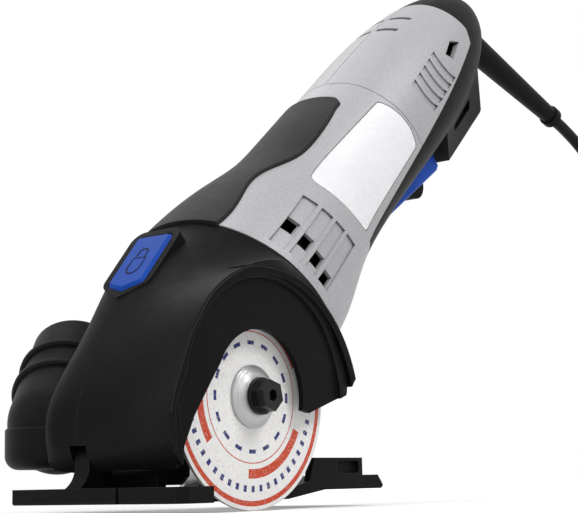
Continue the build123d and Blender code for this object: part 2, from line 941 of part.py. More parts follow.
def arc_sector(inner, outer, low_angle, high_angle, y0, y1):
    """Curved strip about the foot pivot, on its rear side."""
    low = math.radians(low_angle)
    high = math.radians(high_angle)
    middle = (low + high) / 2

    def on(radius, angle):
        return pivot_x - radius * math.cos(angle), pivot_z + radius * math.sin(angle)

    face = make_face([
        ThreePointArc(on(outer, low), on(outer, middle), on(outer, high)),
        Line(on(outer, high), on(inner, high)),
        ThreePointArc(on(inner, high), on(inner, middle), on(inner, low)),
        Line(on(inner, low), on(outer, low))])
    return side_slab(face, y0, y1)


def nose_screw_places():
    return [stand(back, up) for back, up in screw_places]


def nose_screws(shank, head):
    """Screws from the plain side that hold the two nose halves together."""
    group = []
    for x, z in nose_screw_places():
        screw = cross_rod(shank, -screw_grip, screw_grip, x, z)
        group.append(screw + cross_rod(head, -screw_grip - screw_head_height, -screw_grip, x, z))
    return group


def guard_half(shape):
    """Cut the wheel's room, the recessed cheek and its opening into the wheel-side half, and add the hood."""
    rim_low = guard_rim - cheek_recess
    cheek_back = rim_low - cheek_thickness
    shape -= side_slab(wheel_room(guard_inner_radius, guard_inner_radius), guard_wall, cheek_back)
    shape += side_slab(hood_band(), guard_wall - hood_inset, guard_rim)
    foot_wedge = back_polygon(open_wedge([], depth_up + swing_gap))
    shape -= side_slab(foot_wedge, guard_wall - 1.5 * hood_inset, foot_left + foot_room)
    recess_front = back_polygon([(0.0, 0.0)] + [level(x, z) for x, z in cheek_recess_front])
    shape -= side_slab(Circle(cheek_radius) + recess_front, rim_low, far)
    opening = Pos(-cheek_opening_back, cheek_opening_up) * Circle(cheek_opening)
    opening += back_polygon(open_wedge(cheek_front + [level(*cheek_recess_front[-1])], cheek_slope))
    return shape - side_slab(opening, cheek_back - over, far)


def clamp_boss(shape, belly):
    """Add the boss of the depth clamp to the plain half, with its web, and clear the arc and the lever."""
    x, z = clamp_place()
    inner_face = arc_outer_face + arc_thickness
    boss_face = inner_face + free_gap
    shape += cross_rod(clamp_boss_radius, boss_face, clamp_boss_end, x, z)
    web = block(x - clamp_web / 2, x + clamp_web / 2, boss_face, clamp_boss_end, z - 3 * clamp_boss_radius, z)
    shape += (web & tilted(plain_nose_solid())) - belly
    inner = arc_radius - arc_half_width - arc_room
    outer = arc_radius + arc_half_width + arc_room
    shape -= arc_sector(inner, outer, arc_room_low, arc_room_high, arc_outer_face - free_gap,
                        boss_face - mating_gap)
    shape -= cross_rod(clamp_hub_radius + hub_room, -far, arc_outer_face + mating_gap, x, z)
    return shape - cross_rod(clamp_bolt_radius + fit_gap, -far, clamp_bolt_end + bolt_end_gap, x, z)


def hinge_notch():
    """Notch in the nose for the foot's hinge lug, with the bore of its pin."""
    half = lug_width / 2 + notch_gap
    notch = block(pivot_x - notch_rear, far, -half, half, -far, pivot_z + lug_radius + notch_gap)
    reach = pivot_pin_length / 2
    return notch + cross_rod(pivot_pin_radius + fit_gap, -reach, reach, pivot_x, pivot_z)


def nose_halves():
    """Plain half of the gear housing and the wheel-side half that carries the guard."""
    right = plain_nose_solid()
    sections = [guard_section(b, t, d, rim, dip) for b, t, d, _, _, rim, dip in nose_rows]
    left = loft(sections + [guard_rear_section()])
    frame = button_frame()
    left_space = block(-far, far, seam_gap / 2, far, 0.0, far)
    left += frame & left_space
    right += frame & mirror(left_space, about=Plane.XZ)
    left = guard_half(left)
    hollow = nose_cavity() + gear_case_outline(case_clearance) + button_bores()
    belly = belly_room()
    rooms = hinge_notch() + belly
    left = tilted(left - hollow) - rooms
    right = clamp_boss(tilted(right - hollow) - rooms, belly)
    for (x, z), stop in zip(nose_screw_places(), boss_stops):
        left += cross_rod(screw_boss, seam_gap / 2, guard_wall - over - stop, x, z)
        right += cross_rod(screw_boss, -screw_grip - boss_floor, -seam_gap / 2, x, z)
    for screw in nose_screws(screw_radius + fit_gap, screw_head + free_gap):
        left -= screw
        right -= screw
    for x, z in nose_screw_places():
        right -= cross_rod(screw_head + free_gap, -far, -screw_grip, x, z)
    return left, right


def bevel_gear(teeth, mate_teeth, bore, hub_radius, hub_length, phase):
    """Straight bevel gear with its apex at the origin and its back along +Z."""
    cone = math.atan2(teeth, mate_teeth)
    reach = gear_module * teeth / 2 / math.sin(cone)
    small = (reach - gear_face) / reach
    half = tooth_share * math.pi * gear_module / 4
    tip = tooth_tip * gear_module
    root = tooth_root * gear_module

    def ring(height, scale):
        radius = (reach * math.sin(cone) + height * math.cos(cone)) * scale
        axial = (reach * math.cos(cone) - height * math.sin(cone)) * scale
        return radius, axial

    outer_root = ring(-root * root_cover, 1.0)
    inner_root = ring(-root * root_cover, small)
    back = outer_root[1] + hub_length
    profile = Plane.XZ * polygon([
        (0.0, inner_root[1]), inner_root, outer_root, (outer_root[0], outer_root[1] + gear_rim),
        (hub_radius, outer_root[1] + gear_rim + gear_back_slope), (hub_radius, back), (0.0, back)])
    gear = revolve(profile, Axis.Z)

    def end(scale):
        points = []
        tip_half = tooth_tip_width
        root_half = tooth_root_width
        for height, width in ((tip, tip_half), (tip, -tip_half), (-root, -root_half), (-root, root_half)):
            radius, axial = ring(height, scale)
            points.append(Vector(radius, width * half * scale, axial))
        return make_face(Polyline(*points, close=True))

    tooth = loft([end(1.0), end(small)], ruled=True)
    for count in range(teeth):
        gear += Rot(0, 0, 360.0 / teeth * (count + phase)) * tooth
    return gear - Pos(0, 0, back / 2) * Cylinder(bore, back * 2)


def bearing(inner_radius, outer_radius, width):
    """Sealed ball bearing along Z: two rings with a recessed shield between them."""
    third = (outer_radius - inner_radius) / 3
    profile = Plane.XZ * polygon([
        (inner_radius, 0.0), (inner_radius + third, 0.0), (inner_radius + third, shield_depth),
        (outer_radius - third, shield_depth), (outer_radius - third, 0.0), (outer_radius, 0.0),
        (outer_radius, width), (outer_radius - third, width), (outer_radius - third, width - shield_depth),
        (inner_radius + third, width - shield_depth), (inner_radius + third, width), (inner_radius, width)])
    return revolve(profile, Axis.Z)


def along_y(shape):
    """Turn a piece drawn along +Z to point along +Y."""
    return Rot(-90, 0, 0) * shape


def along_back(shape):
    """Turn a piece drawn along +Z to point backwards along the motor."""
    return Rot(0, -90, 0) * shape


def inner_flange_profile():
    """Half section of the inner flange, with the pilot that centres the wheel."""
    seat = wheel_face - wheel_thickness
    back = seat - inner_flange_thickness
    bore = spindle_radius + fit_gap
    pilot = wheel_bore / 2 - pilot_clearance
    hole = bolt_radius + bolt_clearance
    return polygon([
        (bore, back), (flange_radius - flange_bevel, back), (flange_radius, back + flange_bevel_height),
        (flange_radius, seat), (pilot, seat), (pilot, wheel_face - pilot_sink),
        (hole, wheel_face - pilot_sink), (hole, seat + fit_gap), (bore, seat + fit_gap)])


def outer_flange_profile():
    """Half section of the domed outer flange."""
    top = wheel_face + outer_flange_thickness
    hole = bolt_radius + running_gap
    rim = (flange_radius, wheel_face + flange_edge)
    crown = (flange_radius - flange_dome[0], wheel_face + flange_dome[1])
    return make_face([
        Line((hole, wheel_face), (flange_radius, wheel_face)),
        Line((flange_radius, wheel_face), rim),
        ThreePointArc(rim, crown, (collar_radius, top)),
        Line((collar_radius, top), (hole, top)),
        Line((hole, top), (hole, wheel_face))])


def wheel_bolt():
    """Bolt with a collar, a hexagon head and a hexagon socket in it."""
    seat = wheel_face - wheel_thickness
    top = wheel_face + outer_flange_thickness
    bolt = cross_rod(bolt_radius, seat - bolt_reach, top + collar_thickness / 2)
    bolt += cross_rod(collar_radius, top, top + collar_thickness)
    head = extrude(RegularPolygon(hex_across_flats / 2, 6, major_radius=False), hex_height)
    socket = extrude(RegularPolygon(socket_across_flats / 2, 6, major_radius=False), socket_depth + over)
    head -= Pos(0, 0, hex_height - socket_depth) * socket
    return bolt + Pos(0, top + collar_thickness, 0) * along_y(head)


def spindle_pieces():
    """Spindle, flanges, wheel, bolt and large bevel gear, all about the spindle's axis."""
    seat = wheel_face - wheel_thickness
    tail_end = tail_bearing_seat + tail_bearing_width + journal_shoulder
    spindle = cross_rod(rear_journal_radius, tail_bearing_seat, tail_end + over)
    spindle += cross_rod(spindle_radius, tail_end, seat)
    nose_end = nose_bearing_seat + nose_bearing_width
    spindle += cross_rod(nose_journal_radius, nose_bearing_seat - nose_collar, nose_end)
    spindle -= cross_rod(bolt_radius + fit_gap, seat - bolt_reach - bolt_room, seat + over)
    wheel = cross_rod(wheel_diameter / 2, seat, wheel_face) - cross_rod(wheel_bore / 2, 0.0, far)
    gear = bevel_gear(
        gear_teeth, pinion_teeth, spindle_radius + fit_gap, gear_hub_radius, gear_hub, gear_phase)
    return [
        ("spindle", spindle),
        ("inner_flange", revolve(inner_flange_profile(), Axis.Y)),
        ("cutting_wheel", wheel),
        ("outer_flange", revolve(outer_flange_profile(), Axis.Y)),
        ("wheel_bolt", wheel_bolt()),
        ("bevel_gear", Rot(0, 90, 0) * (Rot(90, 0, 0) * gear)),
    ]


def shaft_bore():
    return axial_rod(shaft_radius + fit_gap, 0.0, 3 * far)


def grooved(rod, count, front, length, radius, width, depth):
    """Cut a ring of lengthwise grooves into a rod on the motor axis."""
    groove = block(-front - length, -front, -width / 2, width / 2, radius - depth, radius + over)
    for turn in range(count):
        rod -= Rot(360.0 / count * turn, 0, 0) * groove
    return rod - shaft_bore()


def end_turns(front, rear):
    """Rounded bundle of windings at one end of the armature."""
    rod = axial_rod(armature_radius - end_turn_step, front, rear)
    return fillet(rod.edges().filter_by(GeomType.CIRCLE), end_turn_round) - shaft_bore()


def cooling_fan():
    fan = axial_rod(fan_radius, fan_seat, fan_seat + fan_disc)
    fan += axial_rod(fan_hub_radius, fan_seat, fan_seat + fan_width)
    blade = block(-fan_seat - fan_width, -fan_seat - fan_disc / 2, -fan_blade / 2, fan_blade / 2,
                  fan_blade_start, fan_radius - fan_blade_inset)
    for count in range(fan_blades):
        fan += Rot(360.0 / fan_blades * count, 0, 0) * blade
    return fan - shaft_bore()


def motor_pieces():
    """Turning part of the motor: shaft, pinion, armature, commutator and fan."""
    shaft = axial_rod(shaft_radius, pinion_seat, rear_bearing_seat + motor_bearing_width + over)
    pinion = bevel_gear(
        pinion_teeth, gear_teeth, shaft_radius + fit_gap, pinion_hub_radius, pinion_hub, pinion_phase)
    rear_face = armature_front + armature_length
    core = axial_rod(armature_radius, armature_front, rear_face)
    core = grooved(core, armature_slots, armature_front, armature_length, armature_radius,
                   armature_slot, armature_slot_depth)
    windings = [end_turns(armature_front - end_turn_length, armature_front - end_turn_gap),
                end_turns(rear_face + end_turn_gap, rear_face + end_turn_length)]
    bars = axial_rod(commutator_radius, commutator_front, commutator_front + commutator_length)
    bars = grooved(bars, commutator_bars, commutator_front, commutator_length, commutator_radius,
                   commutator_groove, commutator_groove_depth)
    return [
        ("motor_shaft", shaft),
        ("bevel_pinion", along_back(pinion)),
        ("armature_core", core),
        ("armature_windings", Compound(children=windings)),
        ("commutator", bars),
        ("cooling_fan", cooling_fan()),
    ]


def field_core_and_coils():
    """Field core round the armature, with two flat coils in its slots."""
    rear_face = armature_front + armature_length
    stator = axial_rod(stator_radius, armature_front, rear_face)
    stator -= axial_rod(armature_radius + air_gap, 0.0, 3 * far)
    low = armature_radius + air_gap + coil_start
    high = low + coil_thickness
    coils = []
    for side in (1, -1):
        slot = block(-rear_face - over, -armature_front + over, coil_inner_half_width - coil_gap,
                     coil_half_width + coil_gap, side * (low - coil_gap), side * (high + coil_gap))
        stator -= slot
        stator -= mirror(slot, about=Plane.XZ)
        loop = block(-rear_face - coil_overhang, -armature_front + coil_overhang, -coil_half_width,
                     coil_half_width, side * low, side * high)
        coils.append(loop - block(
            -rear_face - coil_end_gap, -armature_front + coil_end_gap, -coil_inner_half_width,
            coil_inner_half_width, side * (low - over), side * (high + over)))
    return stator, Compound(children=coils)


def brush_pieces():
    """Plate that seats the rear bearing, with a holder and a carbon brush on either side."""
    plate = axial_rod(brush_plate_radius, rear_bearing_seat, rear_bearing_seat + motor_bearing_width)
    half = motor_bearing_radius + brush_plate_margin
    plate &= block(-3 * far, 0.0, -brush_plate_radius, brush_plate_radius, -half, half)
    seat_floor = rear_bearing_seat + motor_bearing_width - brush_plate_floor
    plate -= axial_rod(motor_bearing_radius + fit_gap, rear_bearing_seat - over, seat_floor)
    plate -= axial_rod(shaft_radius + shaft_clearance, 0.0, 3 * far)
    middle = -(commutator_front + commutator_length / 2)
    room_half_width = brush_half_width + brush_gap
    room_half_height = brush_half_height + brush_gap
    holders = []
    brushes = []
    for side in (1, -1):
        start = side * (commutator_radius + holder_start)
        finish = side * (brush_plate_radius - holder_inset)
        holder = block(-rear_bearing_seat + fit_gap, middle + holder_half_length, start, finish,
                       -holder_half_height, holder_half_height)
        holders.append(holder - block(
            middle - room_half_width, middle + room_half_width, start - side, finish - holder_end * side,
            -room_half_height, room_half_height))
        contact = side * (commutator_radius + running_gap)
        brush_end = side * (commutator_radius + brush_length)
        brushes.append(block(
            middle - brush_half_width, middle + brush_half_width, contact, brush_end,
            -brush_half_height, brush_half_height))
    return plate, Compound(children=holders), Compound(children=brushes)


def paddle_outline():
    """Side outline of the paddle, from its hinge end to its heel."""
    hinge = -paddle_front - paddle_hinge_inset
    nose = [(hinge + ahead, -paddle_hinge_depth + rise) for ahead, rise in paddle_nose]
    heel = [
        (-paddle_rear, -paddle_heel_depth + paddle_thickness),
        (-paddle_rear, -paddle_heel_depth + paddle_heel_bevel),
        (-paddle_rear + paddle_heel, -paddle_heel_depth)]
    return polygon(nose + heel + [(hinge + paddle_heel, -paddle_tip_depth + paddle_tip_lift)])


def lower_side_edges(paddle):
    """Long lower edges on both sides of the paddle."""
    low = paddle.edges().filter_by_position(Axis.Z, -far, -paddle_tip_depth)
    lengthwise = low.filter_by(lambda edge: abs(edge.tangent_at(0.5).Y) < 0.1)
    return lengthwise.filter_by(lambda edge: abs(abs(edge.center().Y) - paddle_half_width) < 0.1)


def paddle_pieces():
    """Paddle with the pocket for its lock-off lever, the lever and the lever's pin."""
    hinge = -paddle_front - paddle_hinge_inset
    paddle = side_slab(paddle_outline(), -paddle_half_width, paddle_half_width)
    paddle = fillet(lower_side_edges(paddle), paddle_edge)
    paddle -= cross_rod(paddle_pin_radius + running_gap, -far, far, hinge, -paddle_hinge_depth)
    room = lock_half_width + free_gap
    paddle -= cross_rod(lock_radius + free_gap, -room, room, -lock_seat, -lock_depth)
    grip = lock_half_width + lock_pin_grip
    pin_room = grip + lock_pin_end
    paddle -= cross_rod(lock_pin_radius + running_gap, -pin_room, pin_room, -lock_seat, -lock_depth)
    lever = cross_rod(lock_radius, -lock_half_width, lock_half_width, -lock_seat, -lock_depth)
    lever -= block(-lock_seat - far, -lock_seat + far, -far, far, -lock_depth + lock_flat, far)
    lever -= cross_rod(lock_pin_radius + fit_gap, -far, far, -lock_seat, -lock_depth)
    return paddle, lever, cross_rod(lock_pin_radius, -grip, grip, -lock_seat, -lock_depth)


def spring_coil(radius, wire, length, turns):
    """Compression spring along +Z, an open helix."""
    pitch = (length - 2 * wire) / turns
    path = Helix(pitch, pitch * turns, radius)
    section = Plane(origin=path @ 0, z_dir=path % 0) * Circle(wire)
    return Pos(0, 0, wire) * sweep(section, path=path)


def spindle_lock_pieces():
    """Button with its bevelled cap and locking pin, and the spring under it."""
    cap_low = button_floor + button_travel
    cap = extrude(Plane(origin=(0, 0, cap_low)) * button_outline(0.0), far) & button_slope(button_lift)
    cap = chamfer(cap.faces().sort_by(Axis.Z)[-1].edges(), button_bevel)
    pin_end = pinion_hub_radius + button_travel + free_gap
    cap += upright_rod(button_pin_radius, pin_end, cap_low + over, button_middle())
    spring_low = button_floor - spring_bore_depth + spring_end_gap
    length = cap_low - spring_low - spring_end_gap
    spring = spring_coil(spring_radius, spring_wire, length, lock_spring_turns)
    return cap, Pos(button_middle(), 0, spring_low) * spring


def foot_axis():
    return Axis((pivot_x, 0, pivot_z), (0, 1, 0))


def belly_room():
    """Room that the foot's rails, tail, fence and stiffener need under the nose at full depth."""
    rear = tail_rear - room_rear
    rails = polygon([
        (window_front, foot_thickness + notch_gap), (sole_rear + ramp_run, foot_thickness + notch_gap),
        (tail_front_x - ramp_step, tail_top + notch_gap), (rear, tail_top + notch_gap),
        (rear, wedge_low), (window_front, wedge_low)])
    room = side_slab(rails, foot_right - foot_room, foot_left + foot_room)
    room += block(rear, fence_base + notch_gap, foot_left - fence_thickness - notch_gap,
                  foot_left + foot_room, wedge_low, fence_height + notch_gap)
    stiffener = block(stiffener_rear - foot_room, stiffener_front + foot_room, 0.0,
                      stiffener_left + notch_gap, wedge_low, stiffener_height + notch_gap)
    room += stiffener
    return room.rotate(foot_axis(), depth_up) + stiffener.rotate(foot_axis(), depth_up / 2)


def foot_side():
    """Side outline of the foot: raised lip, flat sole, ramp and raised tail."""
    return polygon([
        (foot_front, sole_edge), (foot_front, foot_lip), (lip_rear, foot_lip),
        (lip_rear - lip_slope, foot_thickness), (sole_rear + ramp_run, foot_thickness),
        (tail_front_x - ramp_step, tail_top), (tail_rear + tail_crest, tail_top),
        (tail_rear - tail_tip, tail_rise + tail_tip_height), (tail_rear - sole_edge, tail_rise),
        (tail_front_x, tail_rise), (sole_rear, 0.0), (foot_front - sole_edge, 0.0)])


def foot_toe():
    """Plan outline of the toe that reaches in front of the wheel."""
    inner = foot_left - over
    return polygon([
        (toe_rear, inner), (toe_rear, toe_left - toe_slant), (toe_rear + toe_slant_run, toe_left),
        (foot_front - toe_corner, toe_left), (foot_front, toe_left - toe_corner), (foot_front, inner)])


def foot_fence():
    """Upright fence along the tail with its rounded pocket."""
    outline = polygon([
        (fence_base, tail_rise + fence_sink), (fence_front, fence_height), (fence_rear, fence_height),
        (fence_rear, tail_top - over), (tail_front_x - fence_sink, tail_top - over)])
    middle = Pos((fence_slot_front + fence_slot_rear) / 2, (fence_slot_low + fence_slot_high) / 2)
    slot = middle * RectangleRounded(
        fence_slot_front - fence_slot_rear, fence_slot_high - fence_slot_low, fence_slot_corner)
    fence = side_slab(outline, foot_left - fence_thickness, foot_left)
    return fence - side_slab(slot, foot_left - fence_slot_depth, foot_left + over)


def hinge_lug():
    """Lug of the foot's hinge on hollow-sided roots."""
    half = lug_width / 2
    front = pivot_x + lug_radius
    rear = pivot_x - lug_radius
    heel = rear - lug_heel
    lip = foot_front - over
    rear_hollow = (rear - lug_rear_hollow[0], lug_rear_hollow[1])
    front_hollow = (front + lug_front_hollow[0], lug_front_hollow[1])
    root = make_face([
        Line((front, pivot_z), (rear, pivot_z)),
        ThreePointArc((rear, pivot_z), rear_hollow, (heel, foot_thickness)),
        Line((heel, foot_thickness), (heel, over)),
        Line((heel, over), (lip, over)),
        Line((lip, over), (lip, foot_lip)),
        ThreePointArc((lip, foot_lip), front_hollow, (front, pivot_z))])
    return cross_rod(lug_radius, -half, half, pivot_x, pivot_z) + side_slab(root, -half, half)


def wheel_track():
    """Room in the foot for the wheel at full depth."""
    low = wheel_face - wheel_thickness - kerf_gap
    track = cross_rod(wheel_diameter / 2 + kerf_gap, low, wheel_face + kerf_gap)
    return (Pos(0, 0, spindle_height) * track).rotate(foot_axis(), -depth_up)


def foot_pieces():
    """Foot plate with its toe, rails, tail, fence and hinge lug, the depth arc on it and its rivets."""
    foot = side_slab(foot_side(), foot_right, foot_left)
    foot += extrude(foot_toe(), foot_lip)
    foot -= block(window_rear, window_front, foot_right + rail_width, foot_left - rail_width, -far, far)
    foot -= block(foot_front - mark_depth, far, mark_low, mark_high, -far, far)
    foot += foot_fence()
    foot += block(stiffener_rear, stiffener_front, 0.0, stiffener_left, over, stiffener_height)
    foot += hinge_lug()
    foot -= cross_rod(pivot_pin_radius + running_gap, -far, far, pivot_x, pivot_z)
    inner_face = arc_outer_face + arc_thickness
    arc = arc_sector(arc_radius - arc_half_width, arc_radius + arc_half_width, arc_root_angle,
                     clamp_angle + depth_down + arc_end, arc_outer_face, inner_face)
    slot_low = clamp_angle - depth_up - arc_slot_end
    slot_high = clamp_angle + depth_down + arc_slot_end
    arc -= arc_sector(
        arc_radius - arc_slot_half_width, arc_radius + arc_slot_half_width, slot_low, slot_high, -far, far)
    foot -= wheel_track()
    rivets = []
    for side in (-0.5, 0.5):
        x = pivot_x - arc_radius + side * rivet_spacing
        shank = cross_rod(rivet_radius, arc_outer_face, foot_right + rivet_depth, x, rivet_height)
        head_end = arc_outer_face - rivet_head
        rivets.append(shank + cross_rod(rivet_radius + rivet_head, head_end, arc_outer_face, x, rivet_height))
        arc -= cross_rod(rivet_radius, arc_outer_face, 0.0, x, rivet_height)
        foot -= cross_rod(rivet_radius, -far, foot_right + rivet_depth, x, rivet_height)
    return foot, arc, Compound(children=rivets)


def clamp_pieces():
    """Bolt of the depth clamp, and its hub with a short arm."""
    x, z = clamp_place()
    outer = arc_outer_face - free_gap
    hub_end = outer - clamp_hub_thickness
    bolt = cross_rod(clamp_bolt_radius, hub_end - over, clamp_bolt_end, x, z)
    head_end = hub_end - free_gap - clamp_head_height
    bolt += cross_rod(clamp_bolt_radius + clamp_head_step, head_end, hub_end - free_gap, x, z)
    lever = cross_rod(clamp_hub_radius, hub_end, outer, x, z)
    arm = polygon([(x + ahead, z + rise) for ahead, rise in clamp_arm])
    lever += side_slab(arm, hub_end, hub_end + clamp_arm_thickness)
    return bolt, lever - cross_rod(clamp_bolt_radius + running_gap, -far, 0.0, x, z)


def port_frame():
    rise = math.radians(port_tilt)
    swing = math.radians(port_splay)
    direction = (-math.cos(rise) * math.cos(swing), -math.cos(rise) * math.sin(swing), math.sin(rise))
    return Plane(origin=port_centre, z_dir=direction)


def port_drop(elbow):
    """Upright lower part of the dust port, round at its foot and stepped at its ledge."""
    radius = port_bore + port_wall - port_drop_step
    ledge_radius = radius + port_ledge_step
    profile = polygon([
        (0.0, port_low), (ledge_radius, port_low), (ledge_radius, port_ledge),
        (radius, port_ledge), (radius, elbow.Z), (0.0, elbow.Z)])
    outer_corners = profile.vertices().sort_by(Axis.X)[-2:].sort_by(Axis.Y)
    profile = fillet(outer_corners[0], port_foot_round)
    ledge_corner = profile.vertices().sort_by_distance((ledge_radius, port_ledge))[0]
    profile = fillet(ledge_corner, port_ledge_round)
    return Pos(elbow.X, elbow.Y, 0) * revolve(Plane.XZ * profile, Axis.Z)


def dust_port(nose_solid):
    """Hose pipe beside the nose with two raised rings and a round elbow into the plain half."""
    frame = port_frame()
    outer = port_bore + port_wall
    pipe = Pos(0, 0, (port_mouth - port_elbow) / 2) * Cylinder(outer, port_mouth + port_elbow)
    for place in (0.0, -port_ring_step):
        ring = Pos(0, 0, place) * Cylinder(outer + port_ring, port_ring_width)
        pipe += chamfer(ring.edges().filter_by(GeomType.CIRCLE), port_ring_bevel)
    elbow = frame.from_local_coords(Vector(0, 0, -port_elbow))
    ball = Pos(elbow.X, elbow.Y, elbow.Z) * Sphere(outer)
    case_end = tail_bearing_seat - case_wall - case_clearance
    neck = cross_rod(outer - port_neck_step, elbow.Y, case_end + over, elbow.X, elbow.Z)
    body = frame * pipe + ball + port_drop(elbow) + neck
    shoulder = port_mouth - port_socket
    socket = Pos(0, 0, shoulder + port_socket) * Cylinder(port_bore, 2 * port_socket)
    passage = Pos(0, 0, (shoulder - port_elbow) / 2) * Cylinder(port_passage, shoulder + port_elbow + over)
    body -= frame * socket
    body -= frame * passage
    body -= Pos(elbow.X, elbow.Y, elbow.Z) * Sphere(port_passage)
    slope = math.tan(math.radians(depth_up + port_swing_gap))
    heel_low = port_low - port_heel_drop
    rear_low = heel_low + (port_heel + far) * slope
    underside = polygon([(port_heel, heel_low), (-far, rear_low), (-far, -far), (port_heel, -far)])
    body -= side_slab(underside, -far, far)
    body -= block(-far, far, case_end, far, -far, 2 * far)
    body -= nose_solid
    return Pos(0, -case_clearance, 0) * body


def plain_nose_solid():
    back, wide, top, depth = body_rows[0]
    sections = [plain_section(b, t, d, w, f, (t - d) / 2) for b, t, d, w, f, _, _ in nose_rows]
    sections.append(plain_section(back, top, depth, wide, oval_fullness, 0.0))
    return loft(sections)


def cord_boot():
    """Tapered strain relief with its end flange."""
    bore = cord_diameter / 2
    flange_back = boot_length - boot_flange
    profile = Plane.XZ * polygon([
        (bore, 0.0), (boot_root_radius, 0.0), (boot_root_radius, boot_root_length),
        (boot_tip_radius, flange_back), (boot_flange_radius, flange_back),
        (boot_flange_radius, boot_length), (bore, boot_length)])
    return boot_frame() * revolve(profile, Axis.Z)


def turn_radii(points):
    """Largest radius that each corner's two runs leave room for."""
    radii = []
    for before, here, after in zip(points, points[1:], points[2:]):
        into = Vector(*here) - Vector(*before)
        out = Vector(*after) - Vector(*here)
        half_turn = math.radians(into.get_angle(out)) / 2
        radii.append(0.45 * min(into.length, out.length) / math.tan(half_turn))
    return radii


def cord_route():
    origin, direction = boot_axis()
    tip = origin + direction * boot_length
    first = tip + direction * first_run
    points = [tuple(tip), tuple(first)] + cord_points
    points.append((cord_landing[0], cord_landing[1], lay))
    points.append((coil_entry[0], coil_entry[1], lay))
    return points


def tube(path, radius):
    return sweep(Plane(origin=path @ 0, z_dir=path % 0) * Circle(radius), path=path)


def biarc(start, heading, finish, final):
    """Two arcs that leave along one heading and arrive along another."""
    span = finish - start
    both = heading + final
    a = both.dot(both) - 4.0
    b = -2.0 * span.dot(both)
    c = span.dot(span)
    reach = (-b - math.sqrt(b * b - 4.0 * a * c)) / (2.0 * a)
    if reach < 0:
        reach = (-b + math.sqrt(b * b - 4.0 * a * c)) / (2.0 * a)
    first = start + heading * reach
    second = finish - final * reach
    joint = (first + second) * 0.5
    return [tangent_arc(start, heading, joint), tangent_arc(joint, (second - first).normalized(), finish)]


def tangent_arc(start, heading, finish):
    return TangentArc(start, finish, tangent=heading)


def coil_path():
    """Cord wound inwards on the floor, up a layer where it turns back, and outwards again."""
    turning = coil_turns + 0.5
    least = coil_mean_radius - coil_pitch * coil_turns / 2
    outer = least + coil_pitch * turning
    centre = Vector(coil_entry[0] - cord_diameter * 1.1, coil_entry[1] - outer, 0)
    plug_height = floor + plug_half_height

    def place(turns):
        radius = least + coil_pitch * abs(turns - turning)
        angle = math.radians(90.0 + 360.0 * turns)
        climb = min(max((turns - turning + 0.25) / 0.5, 0.0), 1.0)
        end_climb = min(max((turns - 2 * turning + 0.25) / 0.25, 0.0), 1.0)
        height = lay + layer_pitch * climb * climb * (3 - 2 * climb)
        height += (plug_height - lay - layer_pitch) * end_climb * end_climb * (3 - 2 * end_climb)
        return centre + Vector(radius * math.cos(angle), radius * math.sin(angle), height)

    steps = round(turning * 8)
    knots = [place(count / 4) for count in range(steps + 1)]
    headings = []
    for count in range(steps + 1):
        low = max(count / 4 - 0.002, 0.0)
        high = min(count / 4 + 0.002, 2 * turning)
        headings.append((place(high) - place(low)).normalized())
    headings[0] = Vector(-1, 0, 0)
    headings[-1] = Vector(-1, 0, 0)
    entry = Vector(coil_entry[0], coil_entry[1], lay)
    edges = [Line(entry, knots[0])]
    for count in range(steps):
        edges += biarc(knots[count], headings[count], knots[count + 1], headings[count + 1])
    last = knots[-1] + Vector(-1, 0, 0) * plug_tail
    edges.append(Line(knots[-1], last))
    return Wire(edges), last, centre, least, outer


def least_gap(path, diameter):
    """Smallest gap between a wound tube and its own other turns, measured on points along it."""
    count = round(path.length / 2.0)
    points = [tuple(path @ (step / count)) for step in range(count + 1)]
    apart = round(math.pi * diameter / 2.0)
    nearest = min(
        math.dist(points[first], points[second])
        for first in range(count) for second in range(first + apart, count + 1))
    return nearest - diameter


def plug_pieces(start):
    """Moulded two-pin plug lying on its flat side, with a smooth neck, and its pins."""
    bore = cord_diameter / 2 + fit_gap
    neck_end = (cord_diameter / 2 + plug_neck_wall, 0.0)
    neck_root = (cord_diameter / 2 + plug_root_wall, plug_neck)
    shoulder = (plug_radius, plug_shoulder)
    neck = make_face([
        Line((bore, 0.0), neck_end),
        Line(neck_end, neck_root),
        ThreePointArc(neck_root, plug_swell, shoulder),
        Line(shoulder, (plug_radius, plug_length)),
        Line((plug_radius, plug_length), (0.0, plug_length)),
        Line((0.0, plug_length), (0.0, plug_bore)),
        Line((0.0, plug_bore), (bore, plug_bore)),
        Line((bore, plug_bore), (bore, 0.0))])
    body = revolve(Plane.XZ * neck, Axis.Z) & Box(2 * far, 2 * plug_half_height, 2 * far)
    frame = Plane(origin=start, x_dir=(0, 1, 0), z_dir=(-1, 0, 0))
    pins = []
    for side in (-0.5, 0.5):
        pin = Pos(side * pin_spacing, 0, plug_length + pin_length / 2) * Cylinder(pin_radius, pin_length)
        pins.append(frame * fillet(pin.edges().filter_by(GeomType.CIRCLE).sort_by(Axis.Z)[-1], pin_round))
    return frame * body, Compound(children=pins)


def cord_tie(centre, inner, outer):
    """Flat strap round the bundle of turns."""
    half = cord_diameter / 2 + tie_gap
    width = outer - inner + 2 * half
    height = layer_pitch + 2 * half
    middle = Pos((inner + outer) / 2, lay + layer_pitch / 2)
    hole = middle * RectangleRounded(width, height, tie_corner)
    band = middle * RectangleRounded(
        width + 2 * tie_thickness, height + 2 * tie_thickness, tie_corner + tie_thickness)
    side = Plane(origin=(0, 0, 0), x_dir=(-1, 0, 0), z_dir=(0, 1, 0))
    return Pos(centre.X, centre.Y, 0) * extrude(side * (band - hole), tie_width / 2, both=True)


